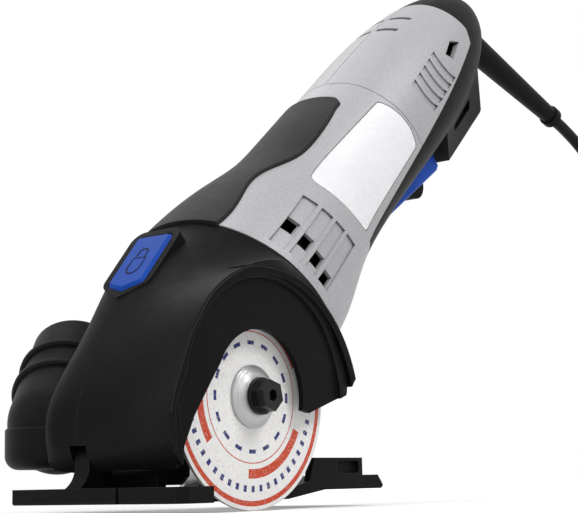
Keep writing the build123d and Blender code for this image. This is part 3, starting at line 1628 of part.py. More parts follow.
def switch_module():
    """Boxed mains switch over the paddle, with its plunger and the bracket of the return spring."""
    box = block(-switch_rear, -switch_front, -switch_half_width, switch_half_width, -switch_low, switch_high)
    bracket_end = -paddle_spring_back + spring_radius + bracket_margin
    box += block(-switch_front - over, bracket_end, -bracket_half_width, bracket_half_width,
                 -paddle_spring_top, -paddle_spring_top + bracket_thickness)
    plunger = -paddle_rear + plunger_inset
    return box + block(plunger - plunger_length / 2, plunger + plunger_length / 2, -plunger_half_width,
                       plunger_half_width, -switch_plunger, -switch_low + over)


def paddle_top(back):
    """Depth of the paddle's upper face at a distance back."""
    ahead, rise = paddle_nose[-1]
    front = paddle_front + paddle_hinge_inset - ahead
    front_depth = paddle_hinge_depth - rise
    rear_depth = paddle_heel_depth - paddle_thickness
    return front_depth + (rear_depth - front_depth) * (back - front) / (paddle_rear - front)


def paddle_spring():
    """Return spring between the paddle and the switch bracket."""
    low = paddle_top(paddle_spring_back - spring_radius - spring_wire)
    length = low - paddle_spring_top - 2 * spring_end_gap
    spring = spring_coil(spring_radius, spring_wire, length, paddle_spring_turns)
    return Pos(-paddle_spring_back, 0, -low + spring_end_gap) * spring


motor_housing, rear_left, rear_right, switch_housing, soft_grip, label_plate = motor_shells()
boot_room = boot_length - boot_seat
boot_bore = Pos(0, 0, boot_room / 2 - boot_seat) * Cylinder(boot_root_radius + fit_gap, boot_room)
boot_bore = boot_frame() * boot_bore
switch_stand = tilted(switch_housing) - boot_bore
keep("motor_housing", tilted(motor_housing))
keep("rear_housing_left", tilted(rear_left) - boot_bore)
keep("rear_housing_right", tilted(rear_right) - boot_bore)
keep("switch_housing", switch_stand)
keep("soft_grip", tilted(soft_grip))
keep("label_plate", tilted(label_plate))

wheel_guard, gear_housing_right = nose_halves()
keep("wheel_guard", wheel_guard)
keep("gear_housing_right", gear_housing_right)
keep("housing_screws", Compound(children=nose_screws(screw_radius, screw_head)))
keep("gear_case", tilted(gear_case()))
keep("dust_port", dust_port(tilted(plain_nose_solid())))

for name, shape in spindle_pieces():
    keep(name, tilted(shape))
nose_race = along_y(bearing(nose_journal_radius + fit_gap, nose_bearing_radius, nose_bearing_width))
keep("spindle_bearing_outer", tilted(Pos(0, nose_bearing_seat, 0) * nose_race))
tail_race = along_y(bearing(rear_journal_radius + fit_gap, tail_bearing_radius, tail_bearing_width))
keep("spindle_bearing_inner", tilted(Pos(0, tail_bearing_seat, 0) * tail_race))
motor_race = along_back(bearing(shaft_radius + fit_gap, motor_bearing_radius, motor_bearing_width))
keep("motor_bearing_front", tilted(Pos(-front_bearing_seat, 0, 0) * motor_race))
rear_width = motor_bearing_width - bearing_step
rear_race = along_back(bearing(shaft_radius + fit_gap, motor_bearing_radius, rear_width))
keep("motor_bearing_rear", tilted(Pos(-rear_bearing_seat, 0, 0) * rear_race))
retainer = cross_rod(nose_bearing_radius, case_nose - retainer_back, case_nose - retainer_front)
retainer -= cross_rod(nose_journal_radius + retainer_gap, 0.0, far)
keep("bearing_retainer", tilted(retainer))

for name, shape in motor_pieces():
    keep(name, tilted(shape))
stator_core, field_coils = field_core_and_coils()
keep("stator_core", tilted(stator_core))
keep("field_coils", tilted(field_coils))
brush_plate, brush_holders, carbon_brushes = brush_pieces()
keep("brush_plate", tilted(brush_plate))
keep("brush_holders", tilted(brush_holders))
keep("carbon_brushes", tilted(carbon_brushes))
keep("switch_module", tilted(switch_module()))

paddle, lock_lever, lock_pin = paddle_pieces()
keep("paddle", tilted(paddle))
keep("paddle_pin", tilted(paddle_pin_line(paddle_pin_radius)))
keep("paddle_spring", tilted(paddle_spring()))
keep("lock_off_lever", tilted(lock_lever))
keep("lock_off_pin", tilted(lock_pin))
lock_button, lock_spring = spindle_lock_pieces()
keep("spindle_lock_button", tilted(lock_button))
keep("spindle_lock_spring", tilted(lock_spring))

foot, depth_arc, arc_rivets = foot_pieces()
keep("foot_plate", foot)
keep("depth_arc", depth_arc)
keep("arc_rivets", arc_rivets)
pin_reach = pivot_pin_length / 2
keep("foot_pivot_pin", cross_rod(pivot_pin_radius, -pin_reach, pin_reach, pivot_x, pivot_z))
clamp_bolt, clamp_lever = clamp_pieces()
keep("depth_clamp_bolt", clamp_bolt)
keep("depth_clamp_lever", clamp_lever)

keep("cord_boot", cord_boot())
route = cord_route()
radii = turn_radii(route)
lead_path = FilletPolyline(*route, radius=radii)
lead = tube(lead_path, cord_diameter / 2)
keep("cord_lead", lead)
coil_wire, plug_start, coil_centre, coil_inner, coil_outer = coil_path()
print("Least gap between the coil's turns, mm:", round(least_gap(coil_wire, cord_diameter), 2))
coil = tube(coil_wire, cord_diameter / 2)
keep("cord_coil", coil)
keep("cord_tie", cord_tie(coil_centre, coil_inner, coil_outer))
plug_body, plug_pins = plug_pieces(plug_start)
keep("power_plug", plug_body)
keep("plug_pins", plug_pins)
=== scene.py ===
import json
import math

import bmesh
import bpy
from bpy.props import FloatProperty, FloatVectorProperty, IntProperty, PointerProperty
from bpy.types import Operator, Panel, PropertyGroup
from mathutils import Matrix, Vector


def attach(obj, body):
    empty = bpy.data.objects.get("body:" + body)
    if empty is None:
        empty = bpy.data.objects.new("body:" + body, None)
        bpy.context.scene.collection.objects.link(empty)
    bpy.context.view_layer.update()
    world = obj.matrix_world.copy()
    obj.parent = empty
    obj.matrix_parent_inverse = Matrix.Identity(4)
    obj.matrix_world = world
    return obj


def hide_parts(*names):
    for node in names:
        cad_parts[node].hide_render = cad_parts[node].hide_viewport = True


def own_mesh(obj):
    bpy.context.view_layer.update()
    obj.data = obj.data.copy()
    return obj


bl_info = {
    "name": "Compact saw looks",
    "version": (1, 0, 0),
    "blender": (4, 5, 0),
    "location": "View3D > Sidebar > Saw",
    "description": "Finishes, cord, wheel print and studio stage for a compact circular saw",
    "category": "Object",
}

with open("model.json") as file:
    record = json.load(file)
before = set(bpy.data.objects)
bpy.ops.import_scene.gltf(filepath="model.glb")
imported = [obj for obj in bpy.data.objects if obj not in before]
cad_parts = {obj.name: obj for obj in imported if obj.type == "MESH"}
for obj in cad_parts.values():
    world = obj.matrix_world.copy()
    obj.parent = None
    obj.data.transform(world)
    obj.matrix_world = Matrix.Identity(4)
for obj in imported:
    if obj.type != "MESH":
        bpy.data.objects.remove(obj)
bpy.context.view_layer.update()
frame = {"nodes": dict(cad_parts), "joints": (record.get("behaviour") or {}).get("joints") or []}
nodes = frame["nodes"]

# Spindle's place in metres, and the tilted body's directions: backwards along it, and upwards from it
SPINDLE = Vector((0.0, 0.0, 0.0352))
TILT = math.radians(43.75)
BACK = Vector((-math.cos(TILT), 0.0, math.sin(TILT)))
UPWARD = Vector((math.sin(TILT), 0.0, math.cos(TILT)))

# Cord: points of its run from the boot's tip to the floor, and the put-away coil
CORD_RUN = [
    (-0.293835, 0.0, 0.194460), (-0.322716, 0.0, 0.186342), (-0.348, 0.0005, 0.166), (-0.364, 0.002, 0.130),
    (-0.370, 0.0045, 0.088), (-0.378, 0.0075, 0.046), (-0.396, 0.0105, 0.014), (-0.426, 0.013, 0.0025),
    (-0.456, 0.014, 0.0008)]
COIL_ENTRY = Vector((-0.486, 0.014, 0.0008))
COIL_CENTRE_X = -0.4926
COIL_STEPS = 20
PLUG_TAIL = 0.042
PLUG_HEIGHT = 0.0097
# Shares of a turn in which the cord climbs to the second layer, and to the plug
LAYER_CLIMB = 0.5
PLUG_CLIMB = 0.25

# Camera, fitted to the photograph
CAMERA_PLACE = (0.377025, 0.362689, 0.005745)
CAMERA_HEADING = math.radians(39.106)
CAMERA_PITCH = math.radians(8.899)
CAMERA_ROLL = math.radians(-1.251)
CAMERA_NEAR = 0.01
SENSOR_WIDTH = 36.0

# Lamps: name, place and width in metres, and power in watts
LAMPS = (
    ("key_light", (-0.1, 0.8, 0.95), 0.5, 6.5),
    ("top_light", (0.25, -0.2, 1.3), 0.8, 6.0),
    ("fill_light", (1.0, 0.45, 0.5), 0.9, 3.5),
    ("back_light", (-0.35, -0.75, 1.0), 0.5, 1.5),
)
LAMP_AIM = Vector((-0.05, 0.0, 0.09))

# Floor: its height just under the wheel, and the distances between which its glow grows to white
FLOOR_HEIGHT = -0.0035
FLOOR_RADIUS = 6.0
FADE_START = 0.4
FADE_END = 1.6
GLOW_NEAR = 0.3
GLOW_FAR = 1.0

# White world: its strength as light, and as the background that is seen
WORLD_LIGHT = 0.3
WORLD_SEEN = 1.0

# Print on the wheel: middle radius and half width of each ring, in metres
RIM_BAND = (0.0362, 0.0009)
TICK_RING = (0.0313, 0.0011)
ARC_RING = (0.0262, 0.0016)
FINE_RING = (0.0226, 0.0002)
DASH_RING = (0.0187, 0.0007)
ARC_COUNT = 3.0
TICK_COUNT = 48.0
DASH_COUNT = 16.0
WHEEL_EDGE = 0.03842

# Sloped face of the spindle lock button: a point on it, and its rise for each metre back
BUTTON_BACK = 0.0225
BUTTON_TOP = 0.0473
BUTTON_SLOPE = 0.1175

# Padlock on the button: half widths, and distances back from the spindle
LOCK_HALF = 0.0031
LOCK_ROUND = 0.0195
LOCK_REAR = 0.0243
SHACKLE_HALF = 0.0021
SHACKLE_ROUND = 0.0268
SHACKLE_END = 0.0252

# Turning arrow on the guard's cheek, as places along the saw and heights
CHEEK_FACE = 0.0444
ARROW_STEM = [(0.0412, 0.0202), (0.0424, 0.0268), (0.0434, 0.0315)]
ARROW_HEAD = [(0.0421, 0.0300), (0.0436, 0.0331), (0.0438, 0.0296)]

# Bead along the guard's rim: turns round the spindle in degrees, and distances from it in metres
BEAD_FACE = 0.046
BEAD_LINE = [
    (-8.0, 0.0485), (0.0, 0.0463), (9.0, 0.0440), (19.0, 0.0426), (30.0, 0.0422), (50.0, 0.0428),
    (70.0, 0.0436), (85.0, 0.0443), (110.0, 0.0449), (130.0, 0.0461), (150.0, 0.0477)]

# Rib under the nose: its place along the saw, its span across it, its heights and half thicknesses
RIB_PLACE = 0.015
RIB_SPAN = (-0.015, 0.022)
RIB_BOTTOM = 0.0058
RIB_TOP = 0.0136
RIB_CORNER = 0.003
RIB_HALF_BOTTOM = 0.0008
RIB_HALF_TOP = 0.0014

# Shading of the solids: points this near are joined, and edges sharper than this stay crisp
WELD_DISTANCE = 0.00001
CRISP_ANGLE = math.radians(30.0)

# Section of a raised line, as shares of its width and height
LINE_SECTION = ((0.5, -0.5), (0.5, 0.0), (0.3, 1.0), (-0.3, 1.0), (-0.5, 0.0), (-0.5, -0.5))


def body_point(back, side, up):
    """Point of the level motor body, in metres, as it stands tilted in the frame."""
    return SPINDLE + BACK * back + Vector((0.0, side, 0.0)) + UPWARD * up


def colour_property(label, description, default):
    return FloatVectorProperty(
        name=label, description=description, subtype="COLOR", size=3, min=0.0, max=1.0, default=default)


def length_property(label, description, default, low, high):
    return FloatProperty(
        name=label, description=description, unit="LENGTH", min=low, max=high, default=default, precision=5)


class SawColours(PropertyGroup):
    housing_grey: colour_property("Housing grey", "Speckled silver-grey shells", (0.37, 0.372, 0.385))
    moulded_black: colour_property("Moulded black", "Nose, guard and switch housing", (0.003, 0.003, 0.0034))
    # Paler copy of the moulded black: painted light on the top of the dust port
    port_painted_light_black: colour_property("Port black", "Dust port", (0.007, 0.007, 0.0073))
    grip_grey: colour_property("Grip", "Soft overmoulded grip", (0.02, 0.02, 0.021))
    control_blue: colour_property("Control blue", "Spindle lock button and paddle", (0.007, 0.06, 0.36))
    symbol_blue: colour_property("Symbol", "Raised symbol on the button", (0.002, 0.01, 0.07))
    # The bead's paler black is a painted highlight along the guard's rim
    bead_highlight_grey: colour_property("Guard bead", "Worn bead along the rim of the guard", (0.012, 0.012, 0.013))
    plate_white: colour_property("Plate white", "Bare name plate", (0.8, 0.805, 0.82))
    wheel_pale: colour_property("Wheel", "Pale face of the abrasive wheel", (0.86, 0.85, 0.835))
    wheel_red: colour_property("Wheel bands", "Printed bands on the wheel", (0.58, 0.065, 0.025))
    wheel_blue: colour_property("Wheel marks", "Printed marks on the wheel", (0.02, 0.03, 0.15))
    steel: colour_property("Steel", "Turned bright steel", (0.47, 0.47, 0.475))
    oxide_black: colour_property("Black oxide", "Wheel bolt and screws", (0.0035, 0.0035, 0.0038))
    foot_black: colour_property("Foot", "Coated foot plate", (0.0045, 0.0045, 0.005))
    cord_black: colour_property("Cord", "Jacket of the mains cord", (0.008, 0.008, 0.0088))
    alloy_grey: colour_property("Cast alloy", "Gear case", (0.5, 0.51, 0.52))
    lamination_grey: colour_property("Laminations", "Cores of the motor", (0.3, 0.3, 0.31))
    copper: colour_property("Copper", "Windings, commutator and brush holders", (0.62, 0.27, 0.12))
    nylon_grey: colour_property("Nylon", "Fan, switch and clamp lever", (0.03, 0.03, 0.032))
    carbon_grey: colour_property("Carbon", "Brushes", (0.02, 0.02, 0.02))


class SawSizes(PropertyGroup):
    cord_diameter: length_property("Cord", "Diameter of the mains cord", 0.006, 0.004, 0.009)
    coil_pitch: length_property("Coil pitch", "Distance between turns of the coil", 0.0067, 0.006, 0.01)
    coil_radius: length_property("Coil radius", "Radius at the middle of the turns", 0.033, 0.03, 0.05)
    coil_turns: IntProperty(
        name="Coil turns", description="Turns in each layer of the coil", min=2, max=8, default=4)
    edge_round: length_property("Edge round", "Radius of the moulded edges", 0.0004, 0.0001, 0.002)
    plate_edge: length_property("Plate edge", "Width of the line round the name plate", 0.0007, 0.0002, 0.002)
    bead_width: length_property("Bead width", "Width of the bead on the guard", 0.0008, 0.0003, 0.002)
    bead_height: length_property("Bead height", "Height of the bead on the guard", 0.0003, 0.0001, 0.001)
    symbol_line: length_property("Symbol line", "Width of the raised lines", 0.0009, 0.0003, 0.002)
    symbol_height: length_property("Symbol height", "Height of the raised lines", 0.00012, 0.00005, 0.0005)
    lens: FloatProperty(
        name="Lens", description="Focal length of the camera", subtype="DISTANCE_CAMERA", min=20.0, max=200.0,
        default=90.0)


def colours():
    return bpy.context.scene.saw_colours


def sizes():
    return bpy.context.scene.saw_sizes


def shade(colour, factor):
    return tuple(min(1.0, channel * factor) for channel in colour)


def eased(share):
    """Share kept between 0 and 1, with a soft start and end."""
    share = min(max(share, 0.0), 1.0)
    return share * share * (3 - 2 * share)


class NodePen:
    """Adds and links shader nodes in one material."""

    def __init__(self, name):
        self.material = bpy.data.materials.new(name)
        self.material.use_nodes = True
        self.tree = self.material.node_tree
        self.shader = self.tree.nodes["Principled BSDF"]
        self.place = self.add("ShaderNodeTexCoord").outputs["Object"]

    def add(self, kind, **values):
        node = self.tree.nodes.new(kind)
        for key, value in values.items():
            setattr(node, key, value)
        return node

    def feed(self, socket, value):
        """Links a socket to another, or sets its value."""
        if isinstance(value, bpy.types.NodeSocket):
            self.tree.links.new(value, socket)
        else:
            socket.default_value = value

    def noise(self, scale, detail=3.0, roughness=0.55):
        node = self.add("ShaderNodeTexNoise")
        self.feed(node.inputs["Vector"], self.place)
        self.feed(node.inputs["Scale"], scale)
        self.feed(node.inputs["Detail"], detail)
        self.feed(node.inputs["Roughness"], roughness)
        return node.outputs["Fac"]

    def ramp(self, fac, stops):
        node = self.add("ShaderNodeValToRGB")
        elements = node.color_ramp.elements
        for element, (place, colour) in zip((elements[0], elements[1]), (stops[0], stops[-1])):
            element.position = place
            element.color = (*colour, 1.0)
        for place, colour in stops[1:-1]:
            elements.new(place).color = (*colour, 1.0)
        self.feed(node.inputs["Fac"], fac)
        return node.outputs["Color"]

    def spread(self, fac, low, high, start=0.0, finish=1.0):
        node = self.add("ShaderNodeMapRange")
        self.feed(node.inputs["Value"], fac)
        self.feed(node.inputs["From Min"], start)
        self.feed(node.inputs["From Max"], finish)
        self.feed(node.inputs["To Min"], low)
        self.feed(node.inputs["To Max"], high)
        return node.outputs["Result"]

    def math(self, operation, *values):
        node = self.add("ShaderNodeMath", operation=operation)
        for socket, value in zip(node.inputs, values):
            self.feed(socket, value)
        return node.outputs["Value"]

    def mix(self, fac, first, second):
        """Colour that goes from the first to the second."""
        node = self.add("ShaderNodeMix", data_type="RGBA")
        factor, start, finish = (node.inputs[index] for index in (0, 6, 7))
        self.feed(factor, fac)
        for socket, colour in ((start, first), (finish, second)):
            self.feed(socket, colour if isinstance(colour, bpy.types.NodeSocket) else (*colour, 1.0))
        return node.outputs[2]

    def bump(self, height, strength, distance, under=None):
        node = self.add("ShaderNodeBump")
        self.feed(node.inputs["Strength"], strength)
        self.feed(node.inputs["Distance"], distance)
        self.feed(node.inputs["Height"], height)
        if under is not None:
            self.feed(node.inputs["Normal"], under)
        return node.outputs["Normal"]

    def rounded(self, radius):
        """Normal that rounds the sharp edges."""
        node = self.add("ShaderNodeBevel", samples=4)
        self.feed(node.inputs["Radius"], radius)
        return node.outputs["Normal"]

    def edges(self, rounded):
        """From 0 on a face to 1 along its sharp edges."""
        match = self.add("ShaderNodeVectorMath", operation="DOT_PRODUCT")
        self.feed(match.inputs[0], rounded)
        self.feed(match.inputs[1], self.add("ShaderNodeNewGeometry").outputs["Normal"])
        return self.spread(match.outputs["Value"], 0.0, 1.0, 0.98, 0.78)

    def corners(self, reach):
        """From 0 on an open face to 1 deep in a groove or corner."""
        node = self.add("ShaderNodeAmbientOcclusion", samples=8)
        self.feed(node.inputs["Distance"], reach)
        return self.spread(node.outputs["AO"], 0.0, 1.0, 0.75, 0.2)

    def polar(self):
        """Distance from the spindle's axis, and the angle round it."""
        offset = self.add("ShaderNodeVectorMath", operation="SUBTRACT")
        self.feed(offset.inputs[0], self.place)
        self.feed(offset.inputs[1], SPINDLE)
        parts = self.add("ShaderNodeSeparateXYZ")
        self.feed(parts.inputs[0], offset.outputs[0])
        x, z = parts.outputs["X"], parts.outputs["Z"]
        square = self.math("ADD", self.math("MULTIPLY", x, x), self.math("MULTIPLY", z, z))
        return self.math("SQRT", square), self.math("ARCTAN2", z, x)

    def finish(self, **sockets):
        """Feeds the shader's sockets, whose names have _ for spaces."""
        for name, value in sockets.items():
            self.feed(self.shader.inputs[name.replace("_", " ")], value)
        return self.material


def moulded_plastic(name, colour, grain=1500.0, relief=0.00025, rough=(0.45, 0.62), drift=0.3, gloss=0.06,
                    edge_highlight=(0.06, 0.06, 0.062), sheen=0.035):
    """Spark-eroded plastic: fine grain in the relief, slow drift in the tone, and paler edges that are a
    painted highlight.
    """
    pen = NodePen(name)
    rounded = pen.rounded(sizes().edge_round)
    tone = pen.ramp(
        pen.noise(scale=45.0), [(0.3, shade(colour, 1.0 - drift)), (0.7, shade(colour, 1.0 + drift))])
    # Patchy paler colour along the sharp edges: a painted highlight
    highlight_mask = pen.math("MULTIPLY", pen.edges(rounded), pen.spread(pen.noise(scale=320.0), low=0.2, high=0.9))
    return pen.finish(
        Base_Color=pen.mix(highlight_mask, tone, edge_highlight),
        Roughness=pen.spread(pen.noise(scale=260.0, detail=4.0), *rough),
        Specular_IOR_Level=gloss,
        Sheen_Weight=sheen,
        Sheen_Roughness=0.35,
        Normal=pen.bump(pen.noise(scale=grain, detail=2.0), 0.35, relief, rounded))


def name_plate(name, colour):
    """Smooth white plate with a thin dark line along its edge."""
    pen = NodePen(name)
    rounded = pen.rounded(sizes().plate_edge)
    tone = pen.ramp(pen.noise(scale=60.0), [(0.3, shade(colour, 0.97)), (0.7, shade(colour, 1.02))])
    return pen.finish(
        Base_Color=pen.mix(pen.edges(rounded), tone, shade(colour, 0.12)),
        Roughness=pen.spread(pen.noise(scale=400.0), low=0.22, high=0.32),
        Specular_IOR_Level=0.3,
        Normal=pen.bump(pen.noise(scale=2000.0, detail=2.0), strength=0.2, distance=0.00005))


def speckled_plastic(name, colour):
    """Silver-grey plastic with fine dark and bright flecks under a satin skin, and painted shade in its
    corners.
    """
    pen = NodePen(name)
    rounded = pen.rounded(sizes().edge_round)
    flecks = pen.ramp(pen.noise(scale=2600.0, detail=2.0, roughness=0.7), [
        (0.3, shade(colour, 0.7)), (0.46, shade(colour, 0.96)), (0.56, shade(colour, 1.04)),
        (0.72, shade(colour, 1.4))])
    return pen.finish(
        # Darker in grooves and corners, from ambient occlusion: painted shade
        Base_Color=pen.mix(pen.corners(reach=0.0025), flecks, shade(colour, 0.2)),
        Metallic=0.15,
        Roughness=pen.spread(pen.noise(scale=300.0), low=0.38, high=0.52),
        Specular_IOR_Level=0.4,
        Normal=pen.bump(pen.noise(scale=1800.0, detail=2.0), 0.18, 0.00015, rounded))


def metal(name, colour, rough=(0.2, 0.34), grain=900.0):
    """Machined metal with uneven gloss, and brighter edges that are a painted highlight."""
    pen = NodePen(name)
    rounded = pen.rounded(sizes().edge_round / 2)
    tone = pen.ramp(
        pen.noise(scale=180.0, detail=4.0), [(0.3, shade(colour, 0.86)), (0.7, shade(colour, 1.08))])
    return pen.finish(
        # Brighter colour along the sharp edges: a painted highlight
        Base_Color=pen.mix(pen.edges(rounded), tone, shade(colour, 1.5)),
        Roughness=pen.spread(pen.noise(scale=grain, detail=4.0, roughness=0.7), *rough),
        Metallic=1.0,
        Normal=pen.bump(pen.noise(scale=grain * 1.6, detail=2.0), 0.08, 0.0001, rounded))


def turned_metal(name, colour):
    """Bright steel with the fine rings that a lathe leaves about the spindle."""
    pen = NodePen(name)
    radius, _ = pen.polar()
    rings = pen.add("ShaderNodeTexNoise", noise_dimensions="1D")
    pen.feed(rings.inputs["W"], pen.math("MULTIPLY", radius, 1500.0))
    pen.feed(rings.inputs["Detail"], 4.0)
    lathe = rings.outputs["Fac"]
    return pen.finish(
        Base_Color=pen.ramp(lathe, [(0.3, shade(colour, 0.5)), (0.65, shade(colour, 1.2))]),
        Roughness=pen.spread(lathe, low=0.26, high=0.42),
        Metallic=1.0,
        Normal=pen.bump(lathe, 0.5, 0.00025, pen.rounded(sizes().edge_round)))


def paint(material, *names):
    """Gives solids a material, and smooth shading with crisp edges."""
    for name in names:
        piece = nodes[name]
        piece.data.materials.clear()
        piece.data.materials.append(material)
        for face in piece.data.polygons:
            face.use_smooth = True
        weld = piece.modifiers.new("Weld", "WELD")
        weld.merge_threshold = WELD_DISTANCE
        split = piece.modifiers.new("Crisp edges", "EDGE_SPLIT")
        split.split_angle = CRISP_ANGLE


def add_piece(name, mesh, material, body):
    """Puts a new mesh on the scene, on one body of the saw."""
    mesh.materials.append(material)
    piece = bpy.data.objects.new(name, mesh)
    bpy.context.scene.collection.objects.link(piece)
    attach(piece, body)
    return piece


def closed_mesh(name, shape):
    """Mesh with its faces turned outwards."""
    bmesh.ops.recalc_face_normals(shape, faces=shape.faces)
    mesh = bpy.data.meshes.new(name)
    shape.to_mesh(mesh)
    shape.free()
    return mesh


def raised_lines(name, lines, width, height, place):
    """Mesh of raised lines with sloped sides, each along points on a flat face."""
    shape = bmesh.new()
    count = len(LINE_SECTION)
    for points, closed in lines:
        points = [Vector(point) for point in points]
        last = len(points) - 1
        rows = []
        for index, point in enumerate(points):
            before = points[index - 1] if closed else points[max(index - 1, 0)]
            after = points[(index + 1) % (last + 1)] if closed else points[min(index + 1, last)]
            run = (after - before).normalized()
            side = Vector((-run.y, run.x)) * width
            section = [place(point + side * share, lift * height) for share, lift in LINE_SECTION]
            rows.append([shape.verts.new(corner) for corner in section])
        pairs = list(zip(rows, rows[1:]))
        if closed:
            pairs.append((rows[-1], rows[0]))
        else:
            shape.faces.new(rows[0])
            shape.faces.new(rows[-1])
        for first, second in pairs:
            for index in range(count):
                following = (index + 1) % count
                shape.faces.new((first[index], first[following], second[following], second[index]))
    return closed_mesh(name, shape)


def smooth_line(places, steps=8):
    """Points on a smooth line through a few places on a flat face."""
    line = []
    last = len(places) - 1
    for index in range(last):
        near = [places[min(max(index + shift, 0), last)] for shift in (-1, 0, 1, 2)]
        before, start, finish, after = near
        for step in range(steps):
            share = step / steps
            line.append(0.5 * (
                2 * start + (finish - before) * share
                + (2 * before - 5 * start + 4 * finish - after) * share ** 2
                + (3 * start - before - 3 * finish + after) * share ** 3))
    return line + [places[-1]]


def arc(centre, radius, start, finish, steps=16):
    """Points on a circle between two angles in degrees."""
    turns = [math.radians(start + (finish - start) * step / steps) for step in range(steps + 1)]
    return [Vector(centre) + Vector((math.cos(turn), math.sin(turn))) * radius for turn in turns]


class SAW_OT_stage(Operator):
    """Pale floor, soft studio light and the camera"""
    bl_idname = "saw.stage"
    bl_label = "Studio stage"

    def execute(self, context):
        scene = context.scene
        scene.view_settings.view_transform = "Standard"
        self.make_floor(scene)
        self.make_world(scene)
        for lamp in LAMPS:
            self.make_light(scene, *lamp)
        self.make_camera(scene)
        return {"FINISHED"}

    def seen(self, tree):
        """1 for rays that look at the background, straight or in a reflection, and 0 for light."""
        path = tree.nodes.new("ShaderNodeLightPath")
        value = path.outputs["Is Camera Ray"]
        for name in ("Is Glossy Ray", "Is Transmission Ray"):
            either = tree.nodes.new("ShaderNodeMath")
            either.operation = "MAXIMUM"
            tree.links.new(value, either.inputs[0])
            tree.links.new(path.outputs[name], either.inputs[1])
            value = either.outputs[0]
        return value

    def make_floor(self, scene):
        """Pale disc that keeps the shadow near the saw and fades to the white of the background."""
        mesh = bpy.data.meshes.new("studio_floor")
        shape = bmesh.new()
        bmesh.ops.create_circle(shape, cap_ends=True, radius=FLOOR_RADIUS, segments=96)
        shape.to_mesh(mesh)
        shape.free()
        floor = bpy.data.objects.new("studio_floor", mesh)
        floor.location = (0.0, 0.0, FLOOR_HEIGHT)
        scene.collection.objects.link(floor)
        pen = NodePen("pale_floor")
        distance = pen.add("ShaderNodeVectorMath", operation="LENGTH")
        pen.feed(distance.inputs[0], pen.place)
        glow = pen.spread(distance.outputs["Value"], GLOW_NEAR, GLOW_FAR, FADE_START, FADE_END)
        drift = pen.noise(scale=3.0, detail=2.0)
        pen.finish(
            Base_Color=pen.ramp(drift, [(0.2, (0.86, 0.86, 0.86)), (0.8, (0.9, 0.9, 0.9))]),
            Roughness=0.9,
            Specular_IOR_Level=0.0,
            Emission_Color=(1.0, 1.0, 1.0, 1.0),
            Emission_Strength=pen.math("MULTIPLY", self.seen(pen.tree), glow))
        mesh.materials.append(pen.material)

    def make_world(self, scene):
        world = bpy.data.worlds.new("studio_world")
        world.use_nodes = True
        scene.world = world
        tree = world.node_tree
        background = tree.nodes["Background"]
        background.inputs["Color"].default_value = (1.0, 1.0, 1.0, 1.0)
        level = tree.nodes.new("ShaderNodeMapRange")
        level.inputs["To Min"].default_value = WORLD_LIGHT
        level.inputs["To Max"].default_value = WORLD_SEEN
        tree.links.new(self.seen(tree), level.inputs["Value"])
        tree.links.new(level.outputs["Result"], background.inputs["Strength"])

    def make_light(self, scene, name, place, size, power):
        data = bpy.data.lights.new(name, "AREA")
        data.shape = "DISK"
        data.size = size
        data.energy = power
        light = bpy.data.objects.new(name, data)
        light.location = place
        aim = LAMP_AIM - light.location
        light.rotation_euler = aim.to_track_quat("-Z", "Y").to_euler()
        scene.collection.objects.link(light)

    def make_camera(self, scene):
        data = bpy.data.cameras.new("photo_camera")
        data.sensor_width = SENSOR_WIDTH
        data.lens = sizes().lens
        data.clip_start = CAMERA_NEAR
        camera = bpy.data.objects.new("photo_camera", data)
        level = math.cos(CAMERA_PITCH)
        forward = Vector((
            -level * math.cos(CAMERA_HEADING), -level * math.sin(CAMERA_HEADING), math.sin(CAMERA_PITCH)))
        right = forward.cross(Vector((0.0, 0.0, 1.0))).normalized()
        up = right.cross(forward)
        rolled_right = right * math.cos(CAMERA_ROLL) + up * math.sin(CAMERA_ROLL)
        rolled_up = up * math.cos(CAMERA_ROLL) - right * math.sin(CAMERA_ROLL)
        turn = Matrix((rolled_right, rolled_up, -forward)).transposed()
        camera.matrix_world = Matrix.Translation(CAMERA_PLACE) @ turn.to_4x4()
        scene.collection.objects.link(camera)
        scene.camera = camera


